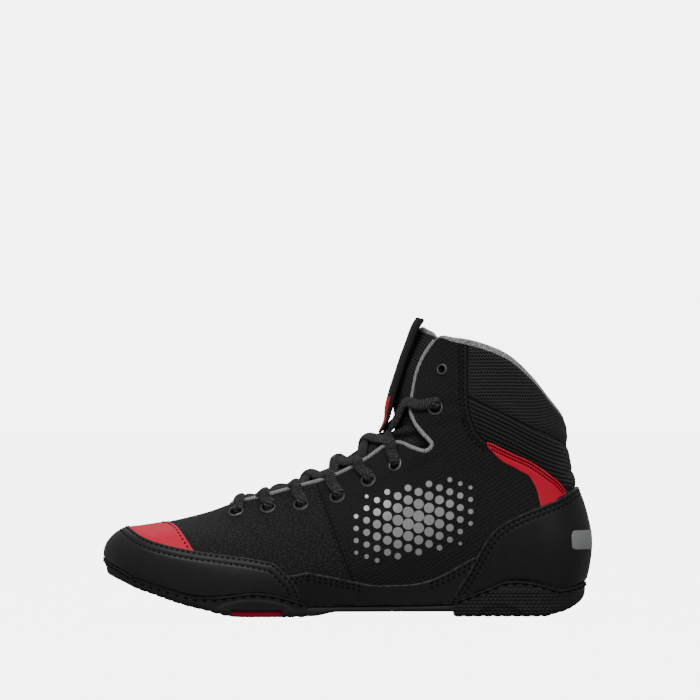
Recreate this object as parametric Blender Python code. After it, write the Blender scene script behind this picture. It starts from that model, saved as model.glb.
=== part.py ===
"""Left wrestling shoe: a lasted upper, its overlays, tongue and lace, and a split rubber sole.

The toe points along -X, the lateral side faces -Y and the shoe stands on z = 0.
The origin lies on the floor under the heel. Lengths are in metres.
"""

import math

import bmesh
import bpy
import numpy as np

# Driving sizes
LENGTH = 0.286
BALL_WIDTH = 0.098
INSTEP_HEIGHT = 0.100
COLLAR_HEIGHT = 0.162
TOE_SPRING = 0.0245
HEEL_SPRING = 0.0145
SOLE_THICKNESS = 0.007
ARCH_RISE = 0.003
WALL = 0.0018
COLLAR_WALL = 0.0030
OVERLAY = 0.0010
LIP = 0.0016
SIDE_HUMP = 0.0010
GROOVE_DEPTH = 0.0012
GROOVE_WIDTH = 0.0030
INSERT_THICKNESS = 0.0033
INSOLE_THICKNESS = 0.003
TONGUE_THICKNESS = 0.0035
TONGUE_CROWN = 0.0140
COVER_WIDTH = 0.024
COVER_THICKNESS = 0.0012
COVER_CURL = 0.0025
LACE_WIDTH = 0.0050
LACE_THICKNESS = 0.0030
EYELET_HOLE = 0.0052
EYELET_FLANGE = 0.0080
EYELET_WALL = 0.0005
EYELET_DEPTH = 0.0009
GAP = 0.0003
SEAM_GAP = 0.0006
TIP_WIDTH = 0.0015
STEP_WIDTH = 0.0005
SHELF = 0.0012
SHELF_ROOM = 0.0004

# Share of the length from the toe at which the origin lies
HEEL_REST = 0.872

# The stations go round half of the last, from the heel centre (first row) to the toe centre (last row).
# Columns: foot and top are places along the length, sole is a share of SOLE_THICKNESS, edge the bevel of
# the rubber as a share of it, crest the height of the topline (see height), toe and heel say how far the
# station follows the toe ridge and the heel curve, bend is the swing of the last as a share of BALL_WIDTH.
SIDE = {
    "columns": ("foot", "sole", "edge", "top", "crest", "toe", "heel", "bend"),
    "rows": (
        (0.978, 0.72, 0.65, 0.940, 1.253, 0.00, 1.00, 0.000),
        (0.969, 0.80, 0.60, 0.931, 1.318, 0.00, 0.95, 0.000),
        (0.941, 1.00, 0.40, 0.909, 1.440, 0.00, 0.75, 0.000),
        (0.895, 1.10, 0.20, 0.874, 1.637, 0.00, 0.45, 0.000),
        (0.835, 1.06, 0.15, 0.825, 1.834, 0.00, 0.15, 0.000),
        (0.774, 1.04, 0.15, 0.766, 1.947, 0.00, 0.02, 0.000),
        (0.726, 1.00, 0.15, 0.713, 1.994, 0.00, 0.00, 0.000),
        (0.685, 0.96, 0.15, 0.681, 1.990, 0.00, 0.00, 0.000),
        (0.648, 0.92, 0.15, 0.646, 1.740, 0.00, 0.00, 0.000),
        (0.614, 0.90, 0.15, 0.630, 1.421, 0.00, 0.00, 0.000),
        (0.583, 0.88, 0.15, 0.618, 1.234, 0.00, 0.00, 0.000),
        (0.553, 0.88, 0.15, 0.609, 1.094, 0.00, 0.00, 0.000),
        (0.518, 0.88, 0.15, 0.597, 1.012, 0.00, 0.00, 0.000),
        (0.476, 0.88, 0.15, 0.573, 0.982, 0.00, 0.00, 0.002),
        (0.421, 0.86, 0.15, 0.535, 0.907, 0.00, 0.00, 0.005),
        (0.348, 0.82, 0.15, 0.472, 0.814, 0.02, 0.00, 0.009),
        (0.266, 0.80, 0.15, 0.396, 0.750, 0.08, 0.00, 0.014),
        (0.185, 0.76, 0.18, 0.331, 0.698, 0.25, 0.00, 0.020),
        (0.114, 0.68, 0.20, 0.291, 0.671, 0.52, 0.00, 0.027),
        (0.061, 0.62, 0.25, 0.272, 0.657, 0.78, 0.00, 0.034),
        (0.028, 0.60, 0.30, 0.267, 0.651, 0.95, 0.00, 0.040),
        (0.017, 0.60, 0.30, 0.265, 0.649, 1.00, 0.00, 0.041),
    ),
}

# Half widths at the same stations, as shares of half of BALL_WIDTH. Columns: lateral and medial are the
# feather edges of the two sides, low to high the section at a quarter, half and three quarters of its
# height on the lateral side, and top is the topline.
WIDTH = {
    "columns": ("lateral", "medial", "low", "middle", "high", "top"),
    "rows": (
        (0.000, 0.000, 0.000, 0.000, 0.000, 0.000),
        (0.255, 0.250, 0.306, 0.276, 0.255, 0.245),
        (0.480, 0.465, 0.550, 0.500, 0.469, 0.449),
        (0.600, 0.580, 0.673, 0.622, 0.602, 0.602),
        (0.633, 0.580, 0.704, 0.653, 0.653, 0.673),
        (0.633, 0.551, 0.714, 0.673, 0.673, 0.663),
        (0.643, 0.520, 0.735, 0.694, 0.643, 0.551),
        (0.653, 0.510, 0.755, 0.704, 0.600, 0.418),
        (0.673, 0.510, 0.765, 0.714, 0.580, 0.347),
        (0.684, 0.520, 0.776, 0.724, 0.571, 0.327),
        (0.704, 0.540, 0.786, 0.735, 0.571, 0.327),
        (0.724, 0.571, 0.806, 0.745, 0.571, 0.327),
        (0.755, 0.622, 0.837, 0.755, 0.571, 0.327),
        (0.786, 0.694, 0.867, 0.776, 0.571, 0.316),
        (0.827, 0.786, 0.908, 0.796, 0.571, 0.306),
        (0.878, 0.888, 0.949, 0.816, 0.571, 0.296),
        (0.908, 0.949, 0.969, 0.816, 0.541, 0.265),
        (0.878, 0.929, 0.939, 0.786, 0.500, 0.235),
        (0.776, 0.806, 0.847, 0.714, 0.429, 0.194),
        (0.580, 0.592, 0.673, 0.571, 0.327, 0.122),
        (0.306, 0.306, 0.378, 0.327, 0.184, 0.057),
        (0.000, 0.000, 0.000, 0.000, 0.000, 0.000),
    ),
}
TOE = len(SIDE["rows"]) - 1
ROUND = 2 * TOE

# Toe ridge, from the feather edge to the throat: rise, place along the length, height
TOE_RIDGE = (
    (0.000, 0.017, 0.288), (0.083, 0.009, 0.355), (0.152, 0.014, 0.416), (0.222, 0.028, 0.465),
    (0.306, 0.051, 0.506), (0.410, 0.083, 0.521), (0.526, 0.120, 0.537), (0.689, 0.171, 0.567),
    (0.854, 0.222, 0.605), (1.000, 0.265, 0.649),
)
# Heel curve: rise, and how far it stands behind the straight line, as a share of the length
HEEL_CURVE = (
    (0.00, 0.000), (0.05, 0.008), (0.13, 0.017), (0.22, 0.0240), (0.31, 0.0264), (0.40, 0.0236),
    (0.48, 0.019), (0.57, 0.0114), (0.66, 0.003), (0.77, -0.001), (0.88, -0.001), (1.00, 0.000),
)
# Under side of the rubber: place along the length, share of TOE_SPRING or of HEEL_SPRING
TOE_LINE = (
    (0.000, 1.08), (0.014, 1.00), (0.047, 0.83), (0.079, 0.65), (0.112, 0.52), (0.144, 0.385),
    (0.177, 0.265), (0.209, 0.175), (0.242, 0.08), (0.268, 0.015), (0.290, 0.0),
)
HEEL_LINE = ((0.902, 0.0), (0.915, 0.08), (0.941, 0.24), (0.957, 0.44), (0.974, 0.75), (0.990, 1.2))

# Edges of the overlays as they run in the side view: place along the length, height
CAP_EDGE = (
    (0.030, 0.54), (0.047, 0.523), (0.091, 0.453), (0.144, 0.407), (0.191, 0.381), (0.258, 0.355),
    (0.331, 0.323), (0.356, 0.304), (0.374, 0.256), (0.402, 0.151), (0.413, 0.052),
)
FRONT_LIP = (
    (0.002, 0.355), (0.024, 0.308), (0.051, 0.267), (0.081, 0.209), (0.118, 0.171), (0.150, 0.151),
    (0.191, 0.122), (0.226, 0.118), (0.268, 0.130), (0.315, 0.145), (0.352, 0.134), (0.409, 0.086),
    (0.430, 0.062),
)
REAR_LIP = (
    (0.690, 0.075), (0.713, 0.088), (0.734, 0.112), (0.789, 0.171), (0.817, 0.203), (0.848, 0.209),
    (0.878, 0.198), (0.907, 0.176), (0.925, 0.160), (0.945, 0.166), (0.982, 0.200), (1.004, 0.226),
)
RAND_EDGE = (
    (0.343, 0.314), (0.362, 0.296), (0.419, 0.262), (0.472, 0.233), (0.510, 0.209), (0.553, 0.186),
    (0.593, 0.186), (0.648, 0.198), (0.689, 0.238), (0.730, 0.302), (0.766, 0.360), (0.783, 0.384),
)
COUNTER_EDGE = (
    (0.705, 0.052), (0.710, 0.090), (0.722, 0.157), (0.740, 0.235), (0.766, 0.372), (0.778, 0.430),
    (0.797, 0.500), (0.817, 0.541), (0.848, 0.587), (0.889, 0.634), (0.931, 0.686), (0.967, 0.747),
    (0.985, 0.765),
)
TOE_FLASH_EDGE = (
    (0.108, 0.600), (0.124, 0.549), (0.146, 0.534), (0.157, 0.515), (0.175, 0.450), (0.191, 0.384),
    (0.200, 0.350),
)
HEEL_FLASH_TOP = (
    (0.793, 1.000), (0.835, 0.942), (0.878, 0.884), (0.907, 0.825), (0.929, 0.773), (0.947, 0.709),
    (0.963, 0.669),
)
HEEL_FLASH_FOOT = (
    (0.793, 0.953), (0.809, 0.907), (0.848, 0.843), (0.874, 0.785), (0.884, 0.721), (0.890, 0.650),
    (0.931, 0.690), (0.967, 0.750),
)

# Eyelets, from the toe end up: place along the length, height, size as a share of the full size
EYELETS = (
    (0.276, 0.605, 1.0), (0.341, 0.628, 1.0), (0.4065, 0.648, 1.0), (0.480, 0.692, 1.0),
    (0.543, 0.788, 1.0), (0.5985, 0.878, 1.0), (0.679, 1.337, 1.0), (0.692, 1.689, 0.72),
)
# Tongue, row by row: station of the throat, station and rise of the upper that its side edge lies under,
# share of TONGUE_CROWN
TONGUE = (
    (19.4, 19.4, 0.86, 0.07), (18.5, 18.5, 0.86, 0.09), (17.5, 17.5, 0.86, 0.11), (16.5, 16.5, 0.85, 0.19),
    (15.7, 15.6, 0.83, 0.40), (15.0, 14.7, 0.80, 0.62), (14.2, 13.3, 0.76, 0.72), (13.4, 11.2, 0.70, 0.76),
    (12.6, 9.2, 0.62, 0.75), (11.8, 7.7, 0.55, 0.67), (11.0, 7.1, 0.60, 0.60), (10.2, 6.9, 0.66, 0.63),
    (9.4, 6.8, 0.71, 0.80), (8.7, 6.7, 0.80, 0.95), (8.0, 6.6, 0.90, 1.00), (7.4, 6.4, 0.95, 1.00),
)
# Free end of the tongue past the collar: share of the length back, height up, width
TONGUE_END = ((0.012, 0.06, 0.92), (0.024, 0.12, 0.70))
# Lace cover: front face from its foot up, place along the length and height
COVER = (
    (0.563, 1.100), (0.570, 1.165), (0.575, 1.231), (0.577, 1.344), (0.585, 1.494), (0.5955, 1.644),
    (0.606, 1.794), (0.618, 1.944), (0.630, 2.094), (0.642, 2.187),
)
# Ankle bay of the throat, cut through both sides: place along the length, height
BAY = (
    (0.560, 1.30), (0.560, 1.07), (0.583, 1.016), (0.604, 1.006), (0.632, 0.977), (0.659, 0.959),
    (0.669, 0.988), (0.669, 1.019), (0.648, 1.121), (0.634, 1.222), (0.629, 1.390),
)
# Grooves across the tread
FRONT_GROOVES = (0.055, 0.095, 0.135, 0.175, 0.215)
HEEL_GROOVES = (0.775, 0.845)
INSERT_SPAN = (0.266, 0.370)
HUMP_SPAN = (0.225, 0.400)

FOREFOOT_END = 14.05
ARCH_FRONT = 13.97
ARCH_BACK = 6.30
HEEL_END = 6.22

UPPER_RISES = (0.0, 0.05, 0.10, 0.16, 0.23, 0.31, 0.40, 0.50, 0.61, 0.72, 0.82, 0.90, 0.96, 1.0)
INNER_RISES = (1.0, 0.88, 0.72, 0.54, 0.36, 0.18, 0.0)

# Points added across the flat faces of the soles, sides of a round piece and of a lace, points along it
STRIP = 1
EYELET_SIDES = 8
HOLE_SIDES = 12
LACE_SIDES = 6
LACE_POINTS = 7
TONGUE_COLUMNS = 9
# Heights of a rubber wall's inner and outer points, as shares of its lip
WALL_INSIDE = (0.33, 0.67, 1.0)
WALL_BULGE = 0.62
WALL_FOOT = 0.22
# Places of a lace bar on the tongue, from the side (0) to the middle (0.5) and how far it has climbed
BAR_START = (0.34, 0.55)
BAR_MIDDLE = (0.50, 1.00)


def height(share):
    """Height over the floor: shares up to 1 are of the instep, and 1 to 2 go on to the collar."""
    share = np.asarray(share, float)
    over = np.clip(share - 1.0, 0.0, None)
    return INSTEP_HEIGHT * np.minimum(share, 1.0) + (COLLAR_HEIGHT - INSTEP_HEIGHT) * over


def place(share):
    """X of a place given as a share of the length from the toe."""
    return (np.asarray(share, float) - HEEL_REST) * LENGTH


def smooth(points, at):
    """Smooth curve through a short table of (place, value), straight beyond its ends."""
    xs = np.array([point[0] for point in points], float)
    ys = np.array([point[1] for point in points], float)
    at = np.asarray(at, float)
    slopes = np.gradient(ys, xs)
    k = np.clip(np.searchsorted(xs, at) - 1, 0, len(xs) - 2)
    span = xs[k + 1] - xs[k]
    s = np.clip((at - xs[k]) / span, 0.0, 1.0)
    inside = (
        (2 * s**3 - 3 * s**2 + 1) * ys[k]
        + (s**3 - 2 * s**2 + s) * span * slopes[k]
        + (3 * s**2 - 2 * s**3) * ys[k + 1]
        + (s**3 - s**2) * span * slopes[k + 1]
    )
    before = np.minimum(at - xs[0], 0.0) * slopes[0]
    after = np.maximum(at - xs[-1], 0.0) * slopes[-1]
    return inside + before + after


def around(loop, turn):
    """Value at a turn on a closed smooth curve through one value a station."""
    turn = np.asarray(turn, float)
    i = np.floor(turn).astype(int)
    s = turn - i
    a, b, c, d = (loop[(i + step) % len(loop)] for step in (-1, 0, 1, 2))
    return 0.5 * (2 * b + (c - a) * s + (2 * a - 5 * b + 4 * c - d) * s**2 + (3 * b - a - 3 * c + d) * s**3)


def across(levels, rise):
    """Smooth curve over evenly spaced levels, at a rise from 0 to 1 and a little beyond."""
    last = len(levels) - 1
    at = np.asarray(rise, float) * last
    k = np.clip(np.floor(at).astype(int), 0, last - 1)
    s = at - k
    stack = np.array([2 * levels[0] - levels[1], *levels, 2 * levels[-1] - levels[-2]])
    pick = np.arange(stack.shape[1])
    a, b, c, d = (stack[k + step, pick] for step in (0, 1, 2, 3))
    return 0.5 * (2 * b + (c - a) * s + (2 * a - 5 * b + 4 * c - d) * s**2 + (3 * b - a - 3 * c + d) * s**3)


def under_line(share):
    """Height of the rubber's under side at a place along the length."""
    share = np.asarray(share, float)
    toe = np.where(share < TOE_LINE[-1][0], np.clip(smooth(TOE_LINE, share), 0.0, None), 0.0)
    heel = np.where(share > HEEL_LINE[0][0], np.clip(smooth(HEEL_LINE, share), 0.0, None), 0.0)
    return TOE_SPRING * toe + HEEL_SPRING * heel


def column(table, name):
    k = table["columns"].index(name)
    return np.array([row[k] for row in table["rows"]])


def mirrored(values):
    """A loop of one value a station, the same on both sides."""
    return np.concatenate([values, values[-2:0:-1]])


def sided(lateral, medial):
    """A loop of half widths: the lateral side faces -Y."""
    return np.concatenate([-lateral, medial[-2:0:-1]])


def make_net():
    """The loops of control values that the surface of the last is read from."""
    foot = column(SIDE, "foot")
    net = {
        "foot_x": mirrored(place(foot)),
        "foot_z": mirrored(under_line(foot) + SOLE_THICKNESS * column(SIDE, "sole")),
        "edge": mirrored(SOLE_THICKNESS * column(SIDE, "edge")),
        "top_x": mirrored(place(column(SIDE, "top"))),
        "top_z": mirrored(height(column(SIDE, "crest"))),
        "toe": mirrored(column(SIDE, "toe")),
        "heel": mirrored(column(SIDE, "heel")),
        "bend": mirrored(BALL_WIDTH * column(SIDE, "bend")),
    }
    half = 0.5 * BALL_WIDTH
    lateral = column(WIDTH, "lateral")
    fuller = column(WIDTH, "medial") - lateral
    levels = [lateral] + [column(WIDTH, name) for name in ("low", "middle", "high", "top")]
    for k, level in enumerate(levels):
        fade = (1.0 - k / 4.0) ** 2
        net[f"level{k}"] = half * sided(level, level + fuller * fade)
    return net


NET = make_net()


def station(turn):
    """Station number of a turn, counted from the heel on either side."""
    return TOE - np.abs(np.mod(turn, ROUND) - TOE)


def skin(turn, rise):
    """Outer face of the upper. turn goes round by stations, rise from the feather edge to the topline."""
    turn, rise = np.broadcast_arrays(np.asarray(turn, float), np.asarray(rise, float))
    shape = turn.shape
    turn = turn.ravel()
    rise = rise.ravel()
    foot_x, foot_z = around(NET["foot_x"], turn), around(NET["foot_z"], turn)
    top_x, top_z = around(NET["top_x"], turn), around(NET["top_z"], turn)
    x = foot_x + (top_x - foot_x) * rise
    z = foot_z + (top_z - foot_z) * rise
    toe = around(NET["toe"], turn)
    ridge_x = place(smooth([(p[0], p[1]) for p in TOE_RIDGE], rise))
    ridge_z = height(smooth([(p[0], p[2]) for p in TOE_RIDGE], rise))
    ridge_z = ridge_z + (NET["foot_z"][TOE] - height(TOE_RIDGE[0][2])) * (1 - rise)
    x = x + toe * (ridge_x - NET["foot_x"][TOE] * (1 - rise) - NET["top_x"][TOE] * rise)
    z = z + toe * (ridge_z - NET["foot_z"][TOE] * (1 - rise) - NET["top_z"][TOE] * rise)
    x = x + around(NET["heel"], turn) * LENGTH * smooth(HEEL_CURVE, rise)
    levels = [around(NET[f"level{k}"], turn) for k in range(5)]
    y = across(levels, rise) + around(NET["bend"], turn) * (1 - rise)
    return np.stack([x, y, z], axis=-1).reshape(*shape, 3)


def outward(turn, rise):
    """Unit normal of the upper's outer face."""
    step = 0.02
    along = skin(turn + step, rise) - skin(turn - step, rise)
    up = skin(turn, rise + 0.5 * step) - skin(turn, rise - 0.5 * step)
    normal = np.cross(up, along)
    return normal / np.linalg.norm(normal, axis=-1, keepdims=True)


def on_upper(turn, rise, out):
    """Point at a distance outside the upper's outer face."""
    turn, rise, out = np.broadcast_arrays(*(np.asarray(v, float) for v in (turn, rise, out)))
    return skin(turn, rise) + outward(turn, rise) * out[..., None]


def wall(turn, rise):
    """Thickness of the upper: thin over the foot, padded round the collar."""
    turn, rise = np.broadcast_arrays(np.asarray(turn, float), np.asarray(rise, float))
    back = np.clip((9.0 - station(turn)) / 2.5, 0.0, 1.0)
    high = np.clip((rise - 0.45) / 0.3, 0.0, 1.0)
    return WALL + (COLLAR_WALL - WALL) * back * high


def rise_at(turn, edge):
    """Rise at which each station's line first climbs past an edge drawn in the side view."""
    turn = np.atleast_1d(np.asarray(turn, float))
    rises = np.linspace(0.0, 1.0, 161)
    points = skin(turn[:, None], rises[None, :])
    shares = points[..., 0] / LENGTH + HEEL_REST
    over = points[..., 2] - height(smooth(edge, shares))
    found = np.zeros(len(turn))
    for i, line in enumerate(over):
        above = np.nonzero(line >= 0.0)[0]
        if len(above) == 0:
            found[i] = 1.0
        elif above[0] > 0:
            k = above[0]
            found[i] = rises[k - 1] + (rises[k] - rises[k - 1]) * line[k - 1] / (line[k - 1] - line[k])
    return found


def rise_step(turn, rise, distance):
    """Change of rise that moves a point by a distance up the upper."""
    step = 0.01
    pace = np.linalg.norm(skin(turn, rise + step) - skin(turn, rise - step), axis=-1) / (2 * step)
    return distance / pace


def lip_rise(turn):
    """Rise of the rubber's stitched top edge, forefoot or heel."""
    turn = np.atleast_1d(np.asarray(turn, float))
    front = rise_at(turn, FRONT_LIP)
    rear = rise_at(turn, REAR_LIP)
    return np.clip(np.where(station(turn) > 10.0, front, rear), 0.018, 0.30)


def lines_between(first, last):
    """Station lines of an overlay: every half station, and quarters where its edges turn."""
    steps = set(np.arange(0, 2 * TOE + 1) / 2.0) | {5.75, 6.25, 6.75, 13.75, 14.25, 14.75, 15.25, 15.75}
    inner = [s for s in steps if first + 0.12 < s < last - 0.12]
    return sorted([first, last, *inner])


def material(name, color, roughness, metallic=0.0):
    made = bpy.data.materials.new(name)
    made.use_nodes = True
    shader = made.node_tree.nodes["Principled BSDF"]
    shader.inputs["Base Color"].default_value = (*color, 1.0)
    shader.inputs["Roughness"].default_value = roughness
    shader.inputs["Metallic"].default_value = metallic
    made.diffuse_color = (*color, 1.0)
    return made


def add_solid(name, points, faces, finish, sharp=40.0):
    """A closed mesh object whose faces point out."""
    mesh = bpy.data.meshes.new(name)
    mesh.from_pydata([tuple(p) for p in points], [], faces)
    shape = bmesh.new()
    shape.from_mesh(mesh)
    bmesh.ops.remove_doubles(shape, verts=shape.verts, dist=2e-6)
    bmesh.ops.recalc_face_normals(shape, faces=shape.faces)
    if shape.calc_volume(signed=True) < 0:
        bmesh.ops.reverse_faces(shape, faces=shape.faces)
    shape.to_mesh(mesh)
    shape.free()
    mesh.shade_smooth()
    mesh.set_sharp_from_angle(angle=math.radians(sharp))
    mesh.materials.append(finish)
    made = bpy.data.objects.new(name, mesh)
    bpy.context.scene.collection.objects.link(made)
    return made


def ring_faces(rings, closed):
    """Faces between rings of the same number of points. Open ends are capped straight across."""
    points = [p for ring in rings for p in ring]
    size = len(rings[0])
    count = len(rings)
    faces = []
    for i in range(count if closed else count - 1):
        a = i * size
        b = ((i + 1) % count) * size
        for j in range(size):
            k = (j + 1) % size
            faces.append((a + j, a + k, b + k, b + j))
    if not closed:
        for base in (0, (count - 1) * size):
            for j in range(size // 2 - 1):
                faces.append((base + j, base + j + 1, base + size - 2 - j, base + size - 1 - j))
    return points, faces


def patch_rings(turns, low, high, inner, outer, rows):
    """Rings of an overlay: up its outer face and down its inner face at each station line."""
    shares = np.linspace(0.0, 1.0, rows + 1)
    rings = []
    for turn, a, b in zip(turns, low, high):
        rises = a + (b - a) * shares
        face = on_upper(turn, rises, outer)
        back = on_upper(turn, rises, inner)
        rings.append(list(face) + list(back[::-1]))
    return rings


def side_turns(stations, medial):
    """The same stations on the lateral or the medial side, from the heel towards the toe."""
    return [ROUND - s if medial else s for s in stations]


def narrow_end(edge_low, edge_high, start, stop):
    """Station at which the room between two edges has closed to a narrow tip."""
    stations = np.linspace(start, stop, 121)
    room = edge_high(stations) - edge_low(stations)
    tip = TIP_WIDTH / INSTEP_HEIGHT
    closed = np.nonzero(room < tip)[0]
    return stations[closed[0] - 1] if len(closed) else stop


def build_upper(finish):
    turns = np.arange(0, 2 * ROUND) / 2.0
    outer = on_upper(turns[None, :], np.array(UPPER_RISES)[:, None], 0.0)
    inner_rises = np.array(INNER_RISES)[:, None]
    inner = on_upper(turns[None, :], inner_rises, -wall(turns[None, :], inner_rises))
    points, faces = ring_faces([list(row) for row in (*outer, *inner)], closed=True)
    return add_solid("upper", points, faces, finish)


def above(edge, distance):
    """Rise of an edge moved up by a distance, as a function of the stations."""
    def rise(stations):
        found = rise_at(stations, edge)
        return found + rise_step(np.asarray(stations, float), found, distance)
    return rise


def above_lip(stations):
    """Rise just above the rubber's stitched edge."""
    lip = lip_rise(stations)
    return lip + rise_step(np.asarray(stations, float), lip, SEAM_GAP)


def build_toe_cap(finish):
    top = above(CAP_EDGE, -0.5 * GAP)

    end = narrow_end(above_lip, top, 18.0, 13.0)
    stations = lines_between(end, float(TOE))
    low, high = above_lip(np.array(stations)), top(np.array(stations))
    turns = stations + [ROUND - s for s in reversed(stations[:-1])]
    low = np.concatenate([low, low[-2::-1]])
    high = np.concatenate([high, high[-2::-1]])
    rings = patch_rings(turns, low, high, GAP, GAP + OVERLAY, 6)
    points, faces = ring_faces(rings, closed=False)
    return add_solid("toe_cap", points, faces, finish)


def build_toe_flash(finish):
    top = above(TOE_FLASH_EDGE, 0.0)
    foot = above(CAP_EDGE, 0.5 * GAP)
    end = narrow_end(foot, top, 20.0, 15.0)
    stations = lines_between(end, float(TOE))
    low, high = foot(np.array(stations)), top(np.array(stations))
    turns = stations + [ROUND - s for s in reversed(stations[:-1])]
    low = np.concatenate([low, low[-2::-1]])
    high = np.concatenate([high, high[-2::-1]])
    rings = patch_rings(turns, low, high, GAP, GAP + OVERLAY, 4)
    points, faces = ring_faces(rings, closed=False)
    return add_solid("toe_flash", points, faces, finish)


def build_rand(name, medial, finish):
    top = above(RAND_EDGE, 0.0)
    behind_cap = above(CAP_EDGE, 0.5 * GAP)
    before_counter = above(COUNTER_EDGE, 0.5 * GAP)

    def foot(stations):
        stations = np.asarray(stations, float)
        arch = (stations > ARCH_BACK) & (stations < ARCH_FRONT)
        low = np.where(arch, rise_step(stations, 0.0, 2 * SEAM_GAP), above_lip(stations))
        low = np.where(stations > 12.0, np.maximum(low, behind_cap(stations)), low)
        return np.where(stations < 8.0, np.maximum(low, before_counter(stations)), low)

    front = narrow_end(foot, top, 13.0, 17.0)
    back = narrow_end(foot, top, 8.0, 4.0)
    stations = lines_between(back, front)
    low, high = foot(np.array(stations)), top(np.array(stations))
    rings = patch_rings(side_turns(stations, medial), low, high, GAP, GAP + OVERLAY, 3)
    points, faces = ring_faces(rings, closed=False)
    return add_solid(name, points, faces, finish)


def build_counter(finish):
    top = above(COUNTER_EDGE, -0.5 * GAP)

    end = narrow_end(above_lip, top, 3.0, 8.0)
    stations = lines_between(0.0, end)
    low, high = above_lip(np.array(stations)), top(np.array(stations))
    turns = [-s for s in reversed(stations[1:])] + stations
    low = np.concatenate([low[:0:-1], low])
    high = np.concatenate([high[:0:-1], high])
    rings = patch_rings(turns, low, high, GAP, GAP + OVERLAY, 7)
    points, faces = ring_faces(rings, closed=False)
    return add_solid("heel_counter", points, faces, finish)


def build_heel_flash(name, medial, finish):
    top = above(HEEL_FLASH_TOP, 0.0)
    over_counter = above(COUNTER_EDGE, 1.5 * GAP)

    def foot(stations):
        return np.maximum(rise_at(stations, HEEL_FLASH_FOOT), over_counter(stations))

    front = narrow_end(foot, top, 4.0, 6.0)
    back = narrow_end(foot, top, 3.0, 0.3)
    stations = lines_between(back, front)
    low, high = foot(np.array(stations)), top(np.array(stations))
    rings = patch_rings(side_turns(stations, medial), low, high, GAP, GAP + OVERLAY, 3)
    points, faces = ring_faces(rings, closed=False)
    return add_solid(name, points, faces, finish)


def station_at(share):
    """Station whose feather edge lies at a place along the length."""
    stations = np.linspace(0.0, TOE, 841)
    shares = around(NET["foot_x"], stations) / LENGTH + HEEL_REST
    return float(np.interp(-share, -shares, stations))


def floor_edge(turn):
    """Where the cup's floor meets its wall."""
    point = on_upper(turn, 0.0, GAP)
    point[..., 2] -= GAP
    return point


def bottom_edge(turn):
    """Outline of the rubber's under side."""
    point = on_upper(turn, 0.0, -around(NET["edge"], turn))
    share = point[..., 0] / LENGTH + HEEL_REST
    point[..., 2] = under_line(share)
    return point


def rubber_wall(turn, lip, lift):
    """One side of a sole section: up inside its lip, down outside, to the edge of the under side."""
    inside = [floor_edge(turn)]
    inside += list(on_upper(turn, lip * np.array(WALL_INSIDE), GAP))
    share = inside[0][0] / LENGTH + HEEL_REST
    middle = 0.5 * (HUMP_SPAN[0] + HUMP_SPAN[1])
    reach = abs(share - middle) / (HUMP_SPAN[1] - middle)
    hump = SIDE_HUMP * max(0.0, 1.0 - reach**4)
    outside = [
        on_upper(turn, lip, GAP + 0.8 * LIP),
        on_upper(turn, WALL_BULGE * lip, GAP + LIP + hump),
        on_upper(turn, WALL_FOOT * lip, GAP + LIP + 0.8 * hump),
    ]
    edge = bottom_edge(turn)
    corner = on_upper(turn, 0.0, GAP + LIP)
    corner[2] = 0.45 * edge[2] + 0.55 * (inside[0][2] - SHELF)
    corner[2] = max(corner[2], edge[2] + lift + SHELF_ROOM)
    edge[2] += lift
    return inside + outside + [corner, edge]


def across_strip(start, end, count):
    return [start + (end - start) * (k + 1) / (count + 1) for k in range(count)]


def sole_rings(stations, lifts, strip=STRIP):
    """Rings of a rubber cup, with the same number of points at each station."""
    rings = []
    for at, lift in zip(stations, lifts):
        lip = float(lip_rise(at)[0])
        lateral = rubber_wall(at, lip, lift)
        medial = rubber_wall(ROUND - at, lip, lift)
        under = across_strip(lateral[-1], medial[-1], strip)
        floor = across_strip(medial[0], lateral[0], strip)
        rings.append(lateral + under + medial[::-1] + floor)
    return rings, len(lateral), strip


def close_cup(rings, side, strip):
    """Cup that is zipped together at its round end and capped at its cut end."""
    size = len(rings[0])
    points = [p for ring in rings for p in ring]
    faces = []
    for i in range(len(rings) - 1):
        a, b = i * size, (i + 1) * size
        for j in range(size):
            k = (j + 1) % size
            faces.append((a + j, a + k, b + k, b + j))
    faces.append(tuple(range(side)))
    faces.append(tuple(range(side + strip, 2 * side + strip)))
    under = [side - 1] + [side + k for k in range(strip)] + [side + strip]
    floor = [0] + [size - 1 - k for k in range(strip)] + [2 * side + strip - 1]
    for j in range(strip + 1):
        faces.append((under[j], under[j + 1], floor[j + 1], floor[j]))
    return points, faces


def with_grooves(stations, spans):
    """Station lines and lifts of the under side, stepped at each (start, end, depth)."""
    step = 0.5 * STEP_WIDTH / LENGTH
    lifts = {s: 0.0 for s in stations}
    for start, end, depth in spans:
        inner_a, inner_b = station_at(start + step), station_at(end - step)
        outer_a, outer_b = station_at(start - step), station_at(end + step)
        for s in list(lifts):
            if min(outer_a, outer_b) < s < max(outer_a, outer_b):
                if depth < INSERT_THICKNESS:
                    del lifts[s]
                else:
                    lifts[s] = depth
        lifts.update({outer_a: 0.0, outer_b: 0.0, inner_a: depth, inner_b: depth})
    ordered = sorted(lifts)
    return ordered, [lifts[s] for s in ordered]


def groove_spans(places):
    half = 0.5 * GROOVE_WIDTH / LENGTH
    return [(p - half, p + half, GROOVE_DEPTH) for p in places]


def build_forefoot_sole(finish):
    stations = [FOREFOOT_END] + [s / 2.0 for s in range(29, 2 * TOE + 1)]
    spans = groove_spans(FRONT_GROOVES)
    spans.append((*INSERT_SPAN, INSERT_THICKNESS + GAP))
    stations, lifts = with_grooves(stations, spans)
    points, faces = close_cup(*sole_rings(stations, lifts))
    return add_solid("outsole_forefoot", points, faces, finish)


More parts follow.
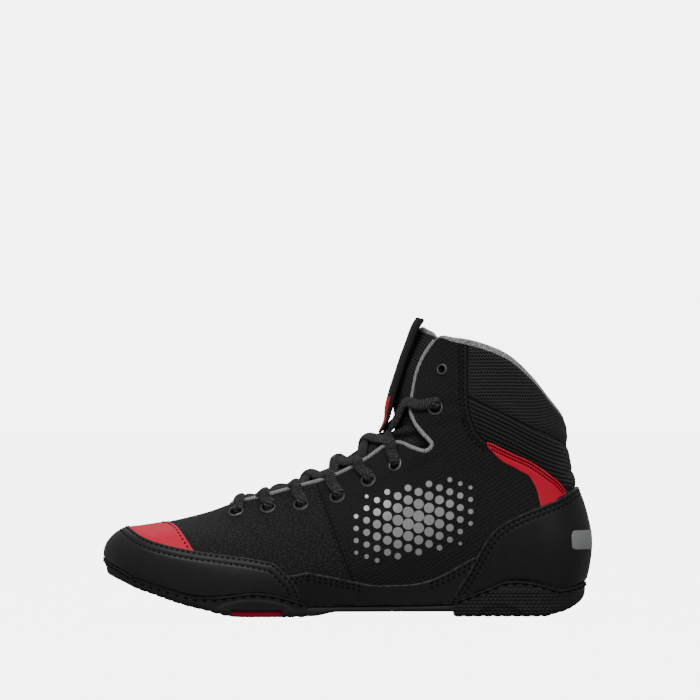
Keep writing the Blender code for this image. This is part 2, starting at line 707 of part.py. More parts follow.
def build_heel_sole(finish):
    stations = [s / 2.0 for s in range(0, 13)] + [HEEL_END]
    stations, lifts = with_grooves(stations, groove_spans(HEEL_GROOVES))
    rings, side, strip = sole_rings(stations[::-1], lifts[::-1])
    points, faces = close_cup(rings, side, strip)
    return add_solid("outsole_heel", points, faces, finish)


def slab_rings(stations, outline, bottom, top, strip=STRIP):
    """Rings of a flat piece between two sides of one outline."""
    rings = []
    for at in stations:
        low_a, low_b = outline(at), outline(ROUND - at)
        low_a[2] = low_b[2] = bottom(at)
        high_a, high_b = low_a.copy(), low_b.copy()
        high_a[2] = high_b[2] = top(at)
        over = across_strip(high_a, high_b, strip)
        under = across_strip(low_b, low_a, strip)
        rings.append([high_a] + over + [high_b, low_b] + under + [low_a])
    return rings


def floor_height(at):
    return float(around(NET["foot_z"], at)) - GAP


def build_insert(finish):
    step = (GAP + 0.5 * STEP_WIDTH) / LENGTH
    ends = [station_at(INSERT_SPAN[1] - step), station_at(INSERT_SPAN[0] + step)]
    stations = lines_between(*ends)
    rings = slab_rings(stations, bottom_edge, lambda at: 0.0, lambda at: INSERT_THICKNESS)
    for ring, at in zip(rings, stations):
        drop = float(under_line(ring[0][0] / LENGTH + HEEL_REST))
        for point in ring:
            point[2] += drop
    points, faces = ring_faces(rings, closed=False)
    return add_solid("outsole_insert", points, faces, finish)


def build_arch(finish):
    stations = lines_between(ARCH_BACK, ARCH_FRONT)

    def outline(at):
        return on_upper(at, 0.0, GAP + OVERLAY)

    rings = slab_rings(stations, outline, lambda at: ARCH_RISE, floor_height)
    points, faces = ring_faces(rings, closed=False)
    return add_solid("sole_arch", points, faces, finish)


def build_insole(finish):
    stations = [s / 2.0 for s in range(0, 2 * TOE + 1)]

    def outline(at):
        return on_upper(at, 0.0, -(WALL + GAP))

    def bottom(at):
        return floor_height(at) + GAP

    rings = slab_rings(stations, outline, bottom, lambda at: bottom(at) + INSOLE_THICKNESS)
    size = len(rings[0])
    points = [p for ring in rings for p in ring]
    faces = []
    for i in range(len(rings) - 1):
        a, b = i * size, (i + 1) * size
        faces += [(a + j, a + (j + 1) % size, b + (j + 1) % size, b + j) for j in range(size)]
    return add_solid("insole", points, faces, finish)


def tongue_row(at, side_at, side_rise, crown, count=TONGUE_COLUMNS):
    """Front face of the tongue across one station of the throat, and the way that it faces."""
    turns = np.array([side_at, at, ROUND - at, ROUND - side_at])
    rises = np.array([side_rise, 0.97, 0.97, side_rise])
    inset = -(wall(turns, rises) + 4 * GAP)
    wing_a, edge_a, edge_b, wing_b = on_upper(turns, rises, inset)
    facing = outward(turns[1:3], rises[1:3]).sum(axis=0)
    facing[1] = 0.0
    facing /= np.linalg.norm(facing)
    middle = 0.5 * (edge_a + edge_b) + facing * crown * TONGUE_CROWN
    knots = np.array([0.0, 0.2, 0.5, 0.8, 1.0])
    shares = np.linspace(0.0, 1.0, count)
    row = np.stack(
        [smooth(list(zip(knots, values)), shares) for values in zip(wing_a, edge_a, middle, edge_b, wing_b)],
        axis=-1,
    )
    return row, facing


def tongue_grid():
    """Front face of the tongue, row by row from the toe end up to its free tip."""
    rows = []
    for at, side_at, side_rise, crown in TONGUE:
        row, facing = tongue_row(at, side_at, side_rise, crown)
        rows.append(row)
    last = rows[-1]
    for back, up, wide in TONGUE_END:
        row = last + np.array([back * LENGTH, 0.0, up * INSTEP_HEIGHT])
        row[:, 1] *= wide
        centre = row[len(row) // 2]
        row[:, 0] = centre[0] + (row[:, 0] - centre[0]) * wide
        row[:, 2] = centre[2] + (row[:, 2] - centre[2]) * wide
        rows.append(row)
    return np.array(rows)


def grid_normals(grid):
    along = np.gradient(grid, axis=0)
    over = np.gradient(grid, axis=1)
    normal = np.cross(along, over)
    return normal / np.linalg.norm(normal, axis=-1, keepdims=True)


def sheet_solid(name, grid, thickness, finish):
    """A sheet with its front face on the grid, thickened to the back."""
    back = grid - grid_normals(grid) * thickness
    rings = [list(front) + list(rear[::-1]) for front, rear in zip(grid, back)]
    points, faces = ring_faces(rings, closed=False)
    return add_solid(name, points, faces, finish)


def build_tongue(finish):
    return sheet_solid("tongue", tongue_grid(), TONGUE_THICKNESS, finish)


def build_cover(finish):
    xs = place([p[0] for p in COVER])
    zs = height([p[1] for p in COVER])
    rows = []
    for k, (x, z) in enumerate(zip(xs, zs)):
        half = 0.5 * COVER_WIDTH * min(1.0, 0.5 + 0.17 * k)
        sides = np.array([-1.0, -0.5, 0.0, 0.5, 1.0])
        curl = COVER_CURL * (half * sides / (0.5 * COVER_WIDTH)) ** 2
        rows.append(np.stack([x + curl, half * sides, z - 0.25 * curl], axis=-1))
    return sheet_solid("lace_cover", np.array(rows), COVER_THICKNESS, finish)


def spot_at(x, z):
    """Turn and rise of the point of the lateral side that shows at a place in the side view."""
    stations = np.linspace(6.5, 20.5, 281)
    rises = np.linspace(0.6, 1.0, 161)
    points = skin(stations[:, None], rises[None, :])
    far = np.hypot(points[..., 0] - x, points[..., 2] - z)
    i, j = np.unravel_index(np.argmin(far), far.shape)
    return float(stations[i]), float(rises[j])


def eyelet_spot(share, crest):
    return spot_at(place(share), height(crest))


def axes_at(turn, rise):
    """Origin, two tangents and the normal of the upper at a point."""
    origin = skin(turn, rise)
    normal = outward(turn, rise)
    up = skin(turn, rise + 0.01) - skin(turn, rise - 0.01)
    up = up - normal * np.dot(up, normal)
    up /= np.linalg.norm(up)
    return origin, up, np.cross(normal, up), normal


def turned_ring(name, turn, rise, profile, sides, finish):
    """A ring round the upper's normal from a closed profile of (radius, height)."""
    origin, up, side, normal = axes_at(turn, rise)
    rings = []
    for k in range(sides):
        angle = 2 * math.pi * k / sides
        arm = math.cos(angle) * up + math.sin(angle) * side
        rings.append([origin + arm * radius + normal * level for radius, level in profile])
    points, faces = ring_faces(rings, closed=True)
    return add_solid(name, points, faces, finish)


def hole_cutter(spots):
    """One mesh that cuts the ankle bay and punches every eyelet hole."""
    points, faces = [], []
    sides = HOLE_SIDES
    corners = len(BAY)
    for y in (-BALL_WIDTH, BALL_WIDTH):
        points += [(float(place(share)), y, float(height(crest))) for share, crest in BAY]
    faces.append(tuple(range(corners)))
    faces.append(tuple(reversed(range(corners, 2 * corners))))
    for k in range(corners):
        n = (k + 1) % corners
        faces.append((n, k, corners + k, corners + n))
    for turn, rise, size in spots:
        origin, up, side, normal = axes_at(turn, rise)
        radius = 0.5 * EYELET_HOLE * size + EYELET_WALL + GAP
        base = len(points)
        for level in (-2.5 * COLLAR_WALL, 2.5 * COLLAR_WALL):
            for k in range(sides):
                angle = 2 * math.pi * k / sides
                arm = math.cos(angle) * up + math.sin(angle) * side
                points.append(origin + arm * radius + normal * level)
        faces.append(tuple(base + k for k in reversed(range(sides))))
        faces.append(tuple(base + sides + k for k in range(sides)))
        for k in range(sides):
            n = (k + 1) % sides
            faces.append((base + k, base + n, base + sides + n, base + sides + k))
    mesh = bpy.data.meshes.new("upper_cuts")
    mesh.from_pydata([tuple(p) for p in points], [], faces)
    shape = bmesh.new()
    shape.from_mesh(mesh)
    bmesh.ops.recalc_face_normals(shape, faces=shape.faces)
    shape.to_mesh(mesh)
    shape.free()
    made = bpy.data.objects.new("upper_cuts", mesh)
    bpy.context.scene.collection.objects.link(made)
    made.hide_render = True
    made.display_type = "WIRE"
    return made


def build_eyelets(upper, finish):
    spots = []
    for number, (share, crest, size) in enumerate(EYELETS, start=1):
        turn, rise = eyelet_spot(share, crest)
        for side, at in (("lateral", turn), ("medial", ROUND - turn)):
            spots.append((at, rise, size))
            hole = 0.5 * EYELET_HOLE * size
            rim = 0.5 * EYELET_FLANGE * size
            lift = 2.5 * GAP
            depth = float(wall(at, rise))
            profile = [
                (hole, -depth), (hole + EYELET_WALL, -depth), (hole + EYELET_WALL, lift), (rim, lift),
                (rim - 0.3 * EYELET_WALL, lift + 0.6 * EYELET_DEPTH), (hole + EYELET_WALL, lift + EYELET_DEPTH),
            ]
            turned_ring(f"eyelet_{side}_{number}", at, rise, profile, EYELET_SIDES, finish)
    cutter = hole_cutter(spots)
    holes = upper.modifiers.new("bay and eyelet holes", "BOOLEAN")
    holes.operation = "DIFFERENCE"
    holes.object = cutter
    holes.solver = "EXACT"


def sweep(name, path, ups, finish, sides=LACE_SIDES):
    """A flat lace along a path, its broad face towards the given up directions."""
    path, ups = np.array(path), np.array(ups)
    along = np.gradient(path, axis=0)
    along /= np.linalg.norm(along, axis=-1, keepdims=True)
    side = np.cross(along, ups)
    side /= np.linalg.norm(side, axis=-1, keepdims=True)
    ups = np.cross(side, along)
    rings = []
    for centre, out, up in zip(path, side, ups):
        ring = []
        for k in range(sides):
            angle = 2 * math.pi * (k + 0.5) / sides
            ring.append(
                centre
                + out * 0.5 * LACE_WIDTH * math.cos(angle)
                + up * 0.5 * LACE_THICKNESS * math.sin(angle)
            )
        rings.append(ring)
    points = [p for ring in rings for p in ring]
    faces = []
    for i in range(len(rings) - 1):
        a, b = i * sides, (i + 1) * sides
        faces += [(a + j, a + (j + 1) % sides, b + (j + 1) % sides, b + j) for j in range(sides)]
    last = (len(rings) - 1) * sides
    faces.append(tuple(reversed(range(sides))))
    faces.append(tuple(last + k for k in range(sides)))
    return add_solid(name, points, faces, finish)


def tongue_spot(at, across_share, lift):
    """Point above the tongue's front face at a station of the throat, and the way that it faces."""
    rows = np.array(TONGUE[::-1])
    side_at, side_rise, crown = (float(np.interp(at, rows[:, 0], rows[:, k])) for k in (1, 2, 3))
    row, facing = tongue_row(at, side_at, side_rise, crown, count=41)
    k = int(round(across_share * 40))
    tilt = row[min(k + 1, 40)] - row[max(k - 1, 0)]
    normal = np.cross(tilt, np.cross(facing, tilt))
    normal /= np.linalg.norm(normal)
    return row[k] + normal * lift, normal


def throat_station(spot):
    """Station of the topline that lies nearest to an eyelet."""
    stations = np.linspace(7.5, 20.5, 521)
    far = np.linalg.norm(skin(stations, 1.0) - skin(*spot), axis=-1)
    return float(stations[np.argmin(far)])


def lace_run(medial_high, low_at, high_at, spot):
    """Path of one lace bar: from beside the lower throat edge, over the tongue, to its upper eyelet."""
    lift = 0.5 * LACE_THICKNESS + 3 * GAP
    middle_at = 0.5 * (low_at + high_at)
    path, ups = [], []
    for (share, climbed), clear in ((BAR_START, 3 * GAP), (BAR_MIDDLE, 0.0)):
        at = low_at + (middle_at - low_at) * climbed
        point, normal = tongue_spot(at, share, lift + clear)
        path.append(point)
        ups.append(normal)
    turn, rise = spot
    edge_at = ROUND - 0.15 * middle_at - 0.85 * high_at
    path.append(on_upper(edge_at, 1.0, lift + GAP))
    ups.append(outward(edge_at, 1.0))
    between = 0.5 * (skin(edge_at, 1.0) + skin(turn, rise))
    half_turn, half_rise = spot_at(between[0], between[2])
    for on_turn, on_rise, clear in ((half_turn, half_rise, 3 * GAP), (turn, rise, EYELET_DEPTH + 4 * GAP)):
        path.append(on_upper(ROUND - on_turn, on_rise, lift + clear))
        ups.append(outward(ROUND - on_turn, on_rise))
    path, ups = np.array(path), np.array(ups)
    if not medial_high:
        flip = np.array([1.0, -1.0, 1.0])
        path, ups = path * flip, ups * flip
    return path, ups


def fine_path(path, ups, count):
    """More points on a smooth curve through a few."""
    lengths = np.concatenate([[0.0], np.cumsum(np.linalg.norm(np.diff(path, axis=0), axis=1))])
    at = np.linspace(0.0, lengths[-1], count)
    fine = np.stack([smooth(list(zip(lengths, path[:, k])), at) for k in range(3)], axis=-1)
    turned = np.stack([smooth(list(zip(lengths, ups[:, k])), at) for k in range(3)], axis=-1)
    return fine, turned / np.linalg.norm(turned, axis=-1, keepdims=True)


def build_lace(finish):
    spots = [eyelet_spot(share, crest) for share, crest, size in EYELETS]
    lift = 0.5 * LACE_THICKNESS + EYELET_DEPTH + 4 * GAP
    throats = [throat_station(spot) for spot in spots]
    at = throats[0]
    path = [on_upper(*spots[0], lift), on_upper(at, 1.0, lift), tongue_spot(at, 0.5, lift)[0]]
    ups = [outward(*spots[0]), outward(at, 1.0), tongue_spot(at, 0.5, lift)[1]]
    flip = np.array([1.0, -1.0, 1.0])
    path += [path[1] * flip, path[0] * flip]
    ups += [ups[1] * flip, ups[0] * flip]
    sweep("lace_bar", *fine_path(np.array(path), np.array(ups), LACE_POINTS + 2), finish)
    for k in range(6):
        low_at, high_at = throats[k], throats[k + 1]
        first = sweep(
            f"lace_cross_{k + 1}", *fine_path(*lace_run(True, low_at, high_at, spots[k + 1]), LACE_POINTS), finish
        )
        second = sweep(
            f"lace_half_{k + 1}", *fine_path(*lace_run(False, low_at, high_at, spots[k + 1]), LACE_POINTS), finish
        )
        second.hide_render = True
        second.display_type = "WIRE"
        join = first.modifiers.new("other half", "BOOLEAN")
        join.operation = "UNION"
        join.object = second
        join.solver = "EXACT"


def main():
    for old in list(bpy.data.objects):
        bpy.data.objects.remove(old, do_unlink=True)
    fabric = material("woven fabric", (0.020, 0.020, 0.022), 0.85)
    synthetic = material("black synthetic", (0.012, 0.012, 0.013), 0.42)
    red = material("red synthetic", (0.80, 0.030, 0.040), 0.50)
    rubber = material("black rubber", (0.018, 0.018, 0.019), 0.60)
    red_rubber = material("red rubber", (0.62, 0.020, 0.030), 0.60)
    lining = material("grey lining", (0.16, 0.16, 0.17), 0.90)
    mesh_cloth = material("tongue mesh", (0.025, 0.025, 0.027), 0.88)
    metal = material("dark eyelet metal", (0.030, 0.031, 0.034), 0.35, 0.7)
    cord = material("lace", (0.015, 0.015, 0.016), 0.75)
    upper = build_upper(fabric)
    build_tongue(mesh_cloth)
    build_insole(lining)
    build_forefoot_sole(rubber)
    build_heel_sole(rubber)
    build_insert(red_rubber)
    build_arch(synthetic)
    build_toe_cap(synthetic)
    build_toe_flash(red)
    build_rand("rand_lateral", False, synthetic)
    build_rand("rand_medial", True, synthetic)
    build_counter(synthetic)
    build_heel_flash("heel_flash_lateral", False, red)
    build_heel_flash("heel_flash_medial", True, red)
    build_cover(red)
    build_eyelets(upper, metal)
    build_lace(cord)


main()
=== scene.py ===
"""Looks of the left wrestling shoe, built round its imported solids.

The toe points along -X, the lateral side faces -Y and the shoe stands on z = 0. Lengths are in metres.
A turn goes round the last by stations, and a rise goes up it from the feather edge to the topline.
Lines that are drawn in the side view hold shares: place along the length from the toe, and height.
"""

import math

import bmesh
import bpy
import numpy as np
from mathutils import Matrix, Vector, kdtree


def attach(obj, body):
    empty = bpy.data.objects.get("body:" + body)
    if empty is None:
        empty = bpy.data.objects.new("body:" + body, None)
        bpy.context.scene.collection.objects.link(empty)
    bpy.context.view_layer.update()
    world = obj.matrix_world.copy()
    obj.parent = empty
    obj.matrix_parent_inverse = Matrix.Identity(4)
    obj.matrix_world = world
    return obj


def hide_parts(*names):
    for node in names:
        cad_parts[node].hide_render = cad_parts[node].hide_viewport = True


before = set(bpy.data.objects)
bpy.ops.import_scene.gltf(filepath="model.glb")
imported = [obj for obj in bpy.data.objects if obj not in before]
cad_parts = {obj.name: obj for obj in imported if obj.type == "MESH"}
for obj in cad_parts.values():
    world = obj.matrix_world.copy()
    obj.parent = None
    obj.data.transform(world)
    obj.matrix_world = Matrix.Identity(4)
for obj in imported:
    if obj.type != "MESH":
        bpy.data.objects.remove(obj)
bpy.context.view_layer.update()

# Sizes of the shoe, as its solids have them
LENGTH = 0.286
BALL_WIDTH = 0.098
INSTEP_HEIGHT = 0.100
COLLAR_HEIGHT = 0.162
TOE_SPRING = 0.0245
HEEL_SPRING = 0.0145
SOLE_THICKNESS = 0.007
ARCH_RISE = 0.003
WALL = 0.0018
COLLAR_WALL = 0.0030
OVERLAY = 0.0010
LIP = 0.0016
SIDE_HUMP = 0.0010
INSERT_THICKNESS = 0.0033
TONGUE_THICKNESS = 0.0035
TONGUE_CROWN = 0.0140
COVER_WIDTH = 0.024
COVER_THICKNESS = 0.0012
COVER_CURL = 0.0025
LACE_WIDTH = 0.0050
LACE_THICKNESS = 0.0030
EYELET_HOLE = 0.0052
EYELET_FLANGE = 0.0080
EYELET_WALL = 0.0005
EYELET_DEPTH = 0.0009
GAP = 0.0003
SEAM_GAP = 0.0006
TIP_WIDTH = 0.0015

# Share of the length from the toe at which the origin lies
HEEL_REST = 0.872

# The stations go round half of the last, from the heel centre (first row) to the toe centre (last row).
# Columns: foot and top are places along the length, sole is a share of SOLE_THICKNESS, edge the bevel of
# the rubber as a share of it, crest the height of the topline (see height), toe and heel say how far the
# station follows the toe ridge and the heel curve, bend is the swing of the last as a share of BALL_WIDTH.
SIDE = {
    "columns": ("foot", "sole", "edge", "top", "crest", "toe", "heel", "bend"),
    "rows": (
        (0.978, 0.72, 0.65, 0.940, 1.253, 0.00, 1.00, 0.000),
        (0.969, 0.80, 0.60, 0.931, 1.318, 0.00, 0.95, 0.000),
        (0.941, 1.00, 0.40, 0.909, 1.440, 0.00, 0.75, 0.000),
        (0.895, 1.10, 0.20, 0.874, 1.637, 0.00, 0.45, 0.000),
        (0.835, 1.06, 0.15, 0.825, 1.834, 0.00, 0.15, 0.000),
        (0.774, 1.04, 0.15, 0.766, 1.947, 0.00, 0.02, 0.000),
        (0.726, 1.00, 0.15, 0.713, 1.994, 0.00, 0.00, 0.000),
        (0.685, 0.96, 0.15, 0.681, 1.990, 0.00, 0.00, 0.000),
        (0.648, 0.92, 0.15, 0.646, 1.740, 0.00, 0.00, 0.000),
        (0.614, 0.90, 0.15, 0.630, 1.421, 0.00, 0.00, 0.000),
        (0.583, 0.88, 0.15, 0.618, 1.234, 0.00, 0.00, 0.000),
        (0.553, 0.88, 0.15, 0.609, 1.094, 0.00, 0.00, 0.000),
        (0.518, 0.88, 0.15, 0.597, 1.012, 0.00, 0.00, 0.000),
        (0.476, 0.88, 0.15, 0.573, 0.982, 0.00, 0.00, 0.002),
        (0.421, 0.86, 0.15, 0.535, 0.907, 0.00, 0.00, 0.005),
        (0.348, 0.82, 0.15, 0.472, 0.814, 0.02, 0.00, 0.009),
        (0.266, 0.80, 0.15, 0.396, 0.750, 0.08, 0.00, 0.014),
        (0.185, 0.76, 0.18, 0.331, 0.698, 0.25, 0.00, 0.020),
        (0.114, 0.68, 0.20, 0.291, 0.671, 0.52, 0.00, 0.027),
        (0.061, 0.62, 0.25, 0.272, 0.657, 0.78, 0.00, 0.034),
        (0.028, 0.60, 0.30, 0.267, 0.651, 0.95, 0.00, 0.040),
        (0.017, 0.60, 0.30, 0.265, 0.649, 1.00, 0.00, 0.041),
    ),
}

# Half widths at the same stations, as shares of half of BALL_WIDTH. Columns: lateral and medial are the
# feather edges of the two sides, low to high the section at a quarter, half and three quarters of its
# height on the lateral side, and top is the topline.
WIDTH = {
    "columns": ("lateral", "medial", "low", "middle", "high", "top"),
    "rows": (
        (0.000, 0.000, 0.000, 0.000, 0.000, 0.000),
        (0.255, 0.250, 0.306, 0.276, 0.255, 0.245),
        (0.480, 0.465, 0.550, 0.500, 0.469, 0.449),
        (0.600, 0.580, 0.673, 0.622, 0.602, 0.602),
        (0.633, 0.580, 0.704, 0.653, 0.653, 0.673),
        (0.633, 0.551, 0.714, 0.673, 0.673, 0.663),
        (0.643, 0.520, 0.735, 0.694, 0.643, 0.551),
        (0.653, 0.510, 0.755, 0.704, 0.600, 0.418),
        (0.673, 0.510, 0.765, 0.714, 0.580, 0.347),
        (0.684, 0.520, 0.776, 0.724, 0.571, 0.327),
        (0.704, 0.540, 0.786, 0.735, 0.571, 0.327),
        (0.724, 0.571, 0.806, 0.745, 0.571, 0.327),
        (0.755, 0.622, 0.837, 0.755, 0.571, 0.327),
        (0.786, 0.694, 0.867, 0.776, 0.571, 0.316),
        (0.827, 0.786, 0.908, 0.796, 0.571, 0.306),
        (0.878, 0.888, 0.949, 0.816, 0.571, 0.296),
        (0.908, 0.949, 0.969, 0.816, 0.541, 0.265),
        (0.878, 0.929, 0.939, 0.786, 0.500, 0.235),
        (0.776, 0.806, 0.847, 0.714, 0.429, 0.194),
        (0.580, 0.592, 0.673, 0.571, 0.327, 0.122),
        (0.306, 0.306, 0.378, 0.327, 0.184, 0.057),
        (0.000, 0.000, 0.000, 0.000, 0.000, 0.000),
    ),
}
TOE = len(SIDE["rows"]) - 1
ROUND = 2 * TOE

# Toe ridge, from the feather edge to the throat: rise, place along the length, height
TOE_RIDGE = (
    (0.000, 0.017, 0.288), (0.083, 0.009, 0.355), (0.152, 0.014, 0.416), (0.222, 0.028, 0.465),
    (0.306, 0.051, 0.506), (0.410, 0.083, 0.521), (0.526, 0.120, 0.537), (0.689, 0.171, 0.567),
    (0.854, 0.222, 0.605), (1.000, 0.265, 0.649),
)
# Heel curve: rise, and how far it stands behind the straight line, as a share of the length
HEEL_CURVE = (
    (0.00, 0.000), (0.05, 0.008), (0.13, 0.017), (0.22, 0.0240), (0.31, 0.0264), (0.40, 0.0236),
    (0.48, 0.019), (0.57, 0.0114), (0.66, 0.003), (0.77, -0.001), (0.88, -0.001), (1.00, 0.000),
)
# Under side of the rubber: place along the length, share of TOE_SPRING or of HEEL_SPRING
TOE_LINE = (
    (0.000, 1.08), (0.014, 1.00), (0.047, 0.83), (0.079, 0.65), (0.112, 0.52), (0.144, 0.385),
    (0.177, 0.265), (0.209, 0.175), (0.242, 0.08), (0.268, 0.015), (0.290, 0.0),
)
HEEL_LINE = ((0.902, 0.0), (0.915, 0.08), (0.941, 0.24), (0.957, 0.44), (0.974, 0.75), (0.990, 1.2))

# Edges of the overlays as they run in the side view: place along the length, height
CAP_EDGE = (
    (0.030, 0.54), (0.047, 0.523), (0.091, 0.453), (0.144, 0.407), (0.191, 0.381), (0.258, 0.355),
    (0.331, 0.323), (0.356, 0.304), (0.374, 0.256), (0.402, 0.151), (0.413, 0.052),
)
FRONT_LIP = (
    (0.002, 0.355), (0.024, 0.308), (0.051, 0.267), (0.081, 0.209), (0.118, 0.171), (0.150, 0.151),
    (0.191, 0.122), (0.226, 0.118), (0.268, 0.130), (0.315, 0.145), (0.352, 0.134), (0.409, 0.086),
    (0.430, 0.062),
)
REAR_LIP = (
    (0.690, 0.075), (0.713, 0.088), (0.734, 0.112), (0.789, 0.171), (0.817, 0.203), (0.848, 0.209),
    (0.878, 0.198), (0.907, 0.176), (0.925, 0.160), (0.945, 0.166), (0.982, 0.200), (1.004, 0.226),
)
RAND_EDGE = (
    (0.343, 0.314), (0.362, 0.296), (0.419, 0.262), (0.472, 0.233), (0.510, 0.209), (0.553, 0.186),
    (0.593, 0.186), (0.648, 0.198), (0.689, 0.238), (0.730, 0.302), (0.766, 0.360), (0.783, 0.384),
)
COUNTER_EDGE = (
    (0.705, 0.052), (0.710, 0.090), (0.722, 0.157), (0.740, 0.235), (0.766, 0.372), (0.778, 0.430),
    (0.797, 0.500), (0.817, 0.541), (0.848, 0.587), (0.889, 0.634), (0.931, 0.686), (0.967, 0.747),
    (0.985, 0.765),
)
TOE_FLASH_EDGE = (
    (0.108, 0.600), (0.124, 0.549), (0.146, 0.534), (0.157, 0.515), (0.175, 0.450), (0.191, 0.384),
    (0.200, 0.350),
)
HEEL_FLASH_TOP = (
    (0.793, 1.000), (0.835, 0.942), (0.878, 0.884), (0.907, 0.825), (0.929, 0.773), (0.947, 0.709),
    (0.963, 0.669),
)
HEEL_FLASH_FOOT = (
    (0.793, 0.953), (0.809, 0.907), (0.848, 0.843), (0.874, 0.785), (0.884, 0.721), (0.890, 0.650),
    (0.931, 0.690), (0.967, 0.750),
)

# Eyelets, from the toe end up: place along the length, height, size as a share of the full size
EYELETS = (
    (0.276, 0.605, 1.0), (0.341, 0.628, 1.0), (0.4065, 0.648, 1.0), (0.480, 0.692, 1.0),
    (0.543, 0.788, 1.0), (0.5985, 0.878, 1.0), (0.679, 1.337, 1.0), (0.692, 1.689, 0.72),
)
# Tongue, row by row: station of the throat, station and rise of the upper that its side edge lies under,
# share of TONGUE_CROWN
TONGUE = (
    (19.4, 19.4, 0.86, 0.07), (18.5, 18.5, 0.86, 0.09), (17.5, 17.5, 0.86, 0.11), (16.5, 16.5, 0.85, 0.19),
    (15.7, 15.6, 0.83, 0.40), (15.0, 14.7, 0.80, 0.62), (14.2, 13.3, 0.76, 0.72), (13.4, 11.2, 0.70, 0.76),
    (12.6, 9.2, 0.62, 0.75), (11.8, 7.7, 0.55, 0.67), (11.0, 7.1, 0.60, 0.60), (10.2, 6.9, 0.66, 0.63),
    (9.4, 6.8, 0.71, 0.80), (8.7, 6.7, 0.80, 0.95), (8.0, 6.6, 0.90, 1.00), (7.4, 6.4, 0.95, 1.00),
)
# Free end of the tongue past the collar: share of the length back, share of the instep up, and how far
# its width closes, as the sine of an arc
TONGUE_END = (0.024, 0.12)
TONGUE_NARROW = 0.74
# Lace cover: front face from its foot up, place along the length and height
COVER = (
    (0.563, 1.100), (0.570, 1.165), (0.575, 1.231), (0.577, 1.344), (0.585, 1.494), (0.5955, 1.644),
    (0.606, 1.794), (0.618, 1.944), (0.630, 2.094), (0.642, 2.187),
)
# Places along the length that the red insert and the hump on the rubber's side run between
INSERT_SPAN = (0.266, 0.370)
HUMP_SPAN = (0.225, 0.400)

# Stations at which the forefoot rubber, the arch plate and the heel rubber end
FOREFOOT_END = 14.05
ARCH_FRONT = 13.97
ARCH_BACK = 6.30
HEEL_END = 6.22


def height(share):
    """Height over the floor: shares up to 1 are of the instep, and 1 to 2 go on to the collar."""
    share = np.asarray(share, float)
    over = np.clip(share - 1.0, 0.0, None)
    return INSTEP_HEIGHT * np.minimum(share, 1.0) + (COLLAR_HEIGHT - INSTEP_HEIGHT) * over


def place(share):
    """X of a place given as a share of the length from the toe."""
    return (np.asarray(share, float) - HEEL_REST) * LENGTH


def share_of(x):
    """Place along the length of an X, as a share from the toe."""
    return x / LENGTH + HEEL_REST


def unit(vectors):
    """Vectors with their lengths set to one."""
    return vectors / np.linalg.norm(vectors, axis=-1, keepdims=True)


def lengths_along(path):
    """Distance walked along a path at each of its points."""
    return np.concatenate([[0.0], np.cumsum(np.linalg.norm(np.diff(path, axis=0), axis=1))])


def cubic(a, b, c, d, s):
    """Smooth curve from b to c at a share of the way, with a before them and d behind."""
    return 0.5 * (2 * b + (c - a) * s + (2 * a - 5 * b + 4 * c - d) * s**2 + (3 * b - a - 3 * c + d) * s**3)


def smooth(points, at):
    """Smooth curve through a short table of (place, value), straight beyond its ends."""
    xs, ys = np.array(list(points), float).T
    at = np.asarray(at, float)
    slopes = np.gradient(ys, xs)
    k = np.clip(np.searchsorted(xs, at) - 1, 0, len(xs) - 2)
    span = xs[k + 1] - xs[k]
    s = np.clip((at - xs[k]) / span, 0.0, 1.0)
    inside = (
        (2 * s**3 - 3 * s**2 + 1) * ys[k]
        + (s**3 - 2 * s**2 + s) * span * slopes[k]
        + (3 * s**2 - 2 * s**3) * ys[k + 1]
        + (s**3 - s**2) * span * slopes[k + 1]
    )
    before = np.minimum(at - xs[0], 0.0) * slopes[0]
    after = np.maximum(at - xs[-1], 0.0) * slopes[-1]
    return inside + before + after


def around(loop, turn):
    """Value at a turn on a closed smooth curve through one value a station."""
    turn = np.asarray(turn, float)
    i = np.floor(turn).astype(int)
    s = turn - i
    a, b, c, d = (loop[(i + step) % len(loop)] for step in (-1, 0, 1, 2))
    return cubic(a, b, c, d, s)


def across(levels, rise):
    """Smooth curve over evenly spaced levels, at a rise from 0 to 1 and a little beyond."""
    last = len(levels) - 1
    at = np.asarray(rise, float) * last
    k = np.clip(np.floor(at).astype(int), 0, last - 1)
    s = at - k
    stack = np.array([2 * levels[0] - levels[1], *levels, 2 * levels[-1] - levels[-2]])
    pick = np.arange(stack.shape[1])
    return cubic(*(stack[k + step, pick] for step in (0, 1, 2, 3)), s)


def under_line(share):
    """Height of the rubber's under side at a place along the length."""
    share = np.asarray(share, float)
    toe = np.where(share < TOE_LINE[-1][0], np.clip(smooth(TOE_LINE, share), 0.0, None), 0.0)
    heel = np.where(share > HEEL_LINE[0][0], np.clip(smooth(HEEL_LINE, share), 0.0, None), 0.0)
    return TOE_SPRING * toe + HEEL_SPRING * heel


def column(table, name):
    """One column of a table, a value for each station."""
    k = table["columns"].index(name)
    return np.array([row[k] for row in table["rows"]])


def mirrored(values):
    """A loop of one value a station, the same on both sides."""
    return np.concatenate([values, values[-2:0:-1]])


def sided(lateral, medial):
    """A loop of half widths: the lateral side faces -Y."""
    return np.concatenate([-lateral, medial[-2:0:-1]])


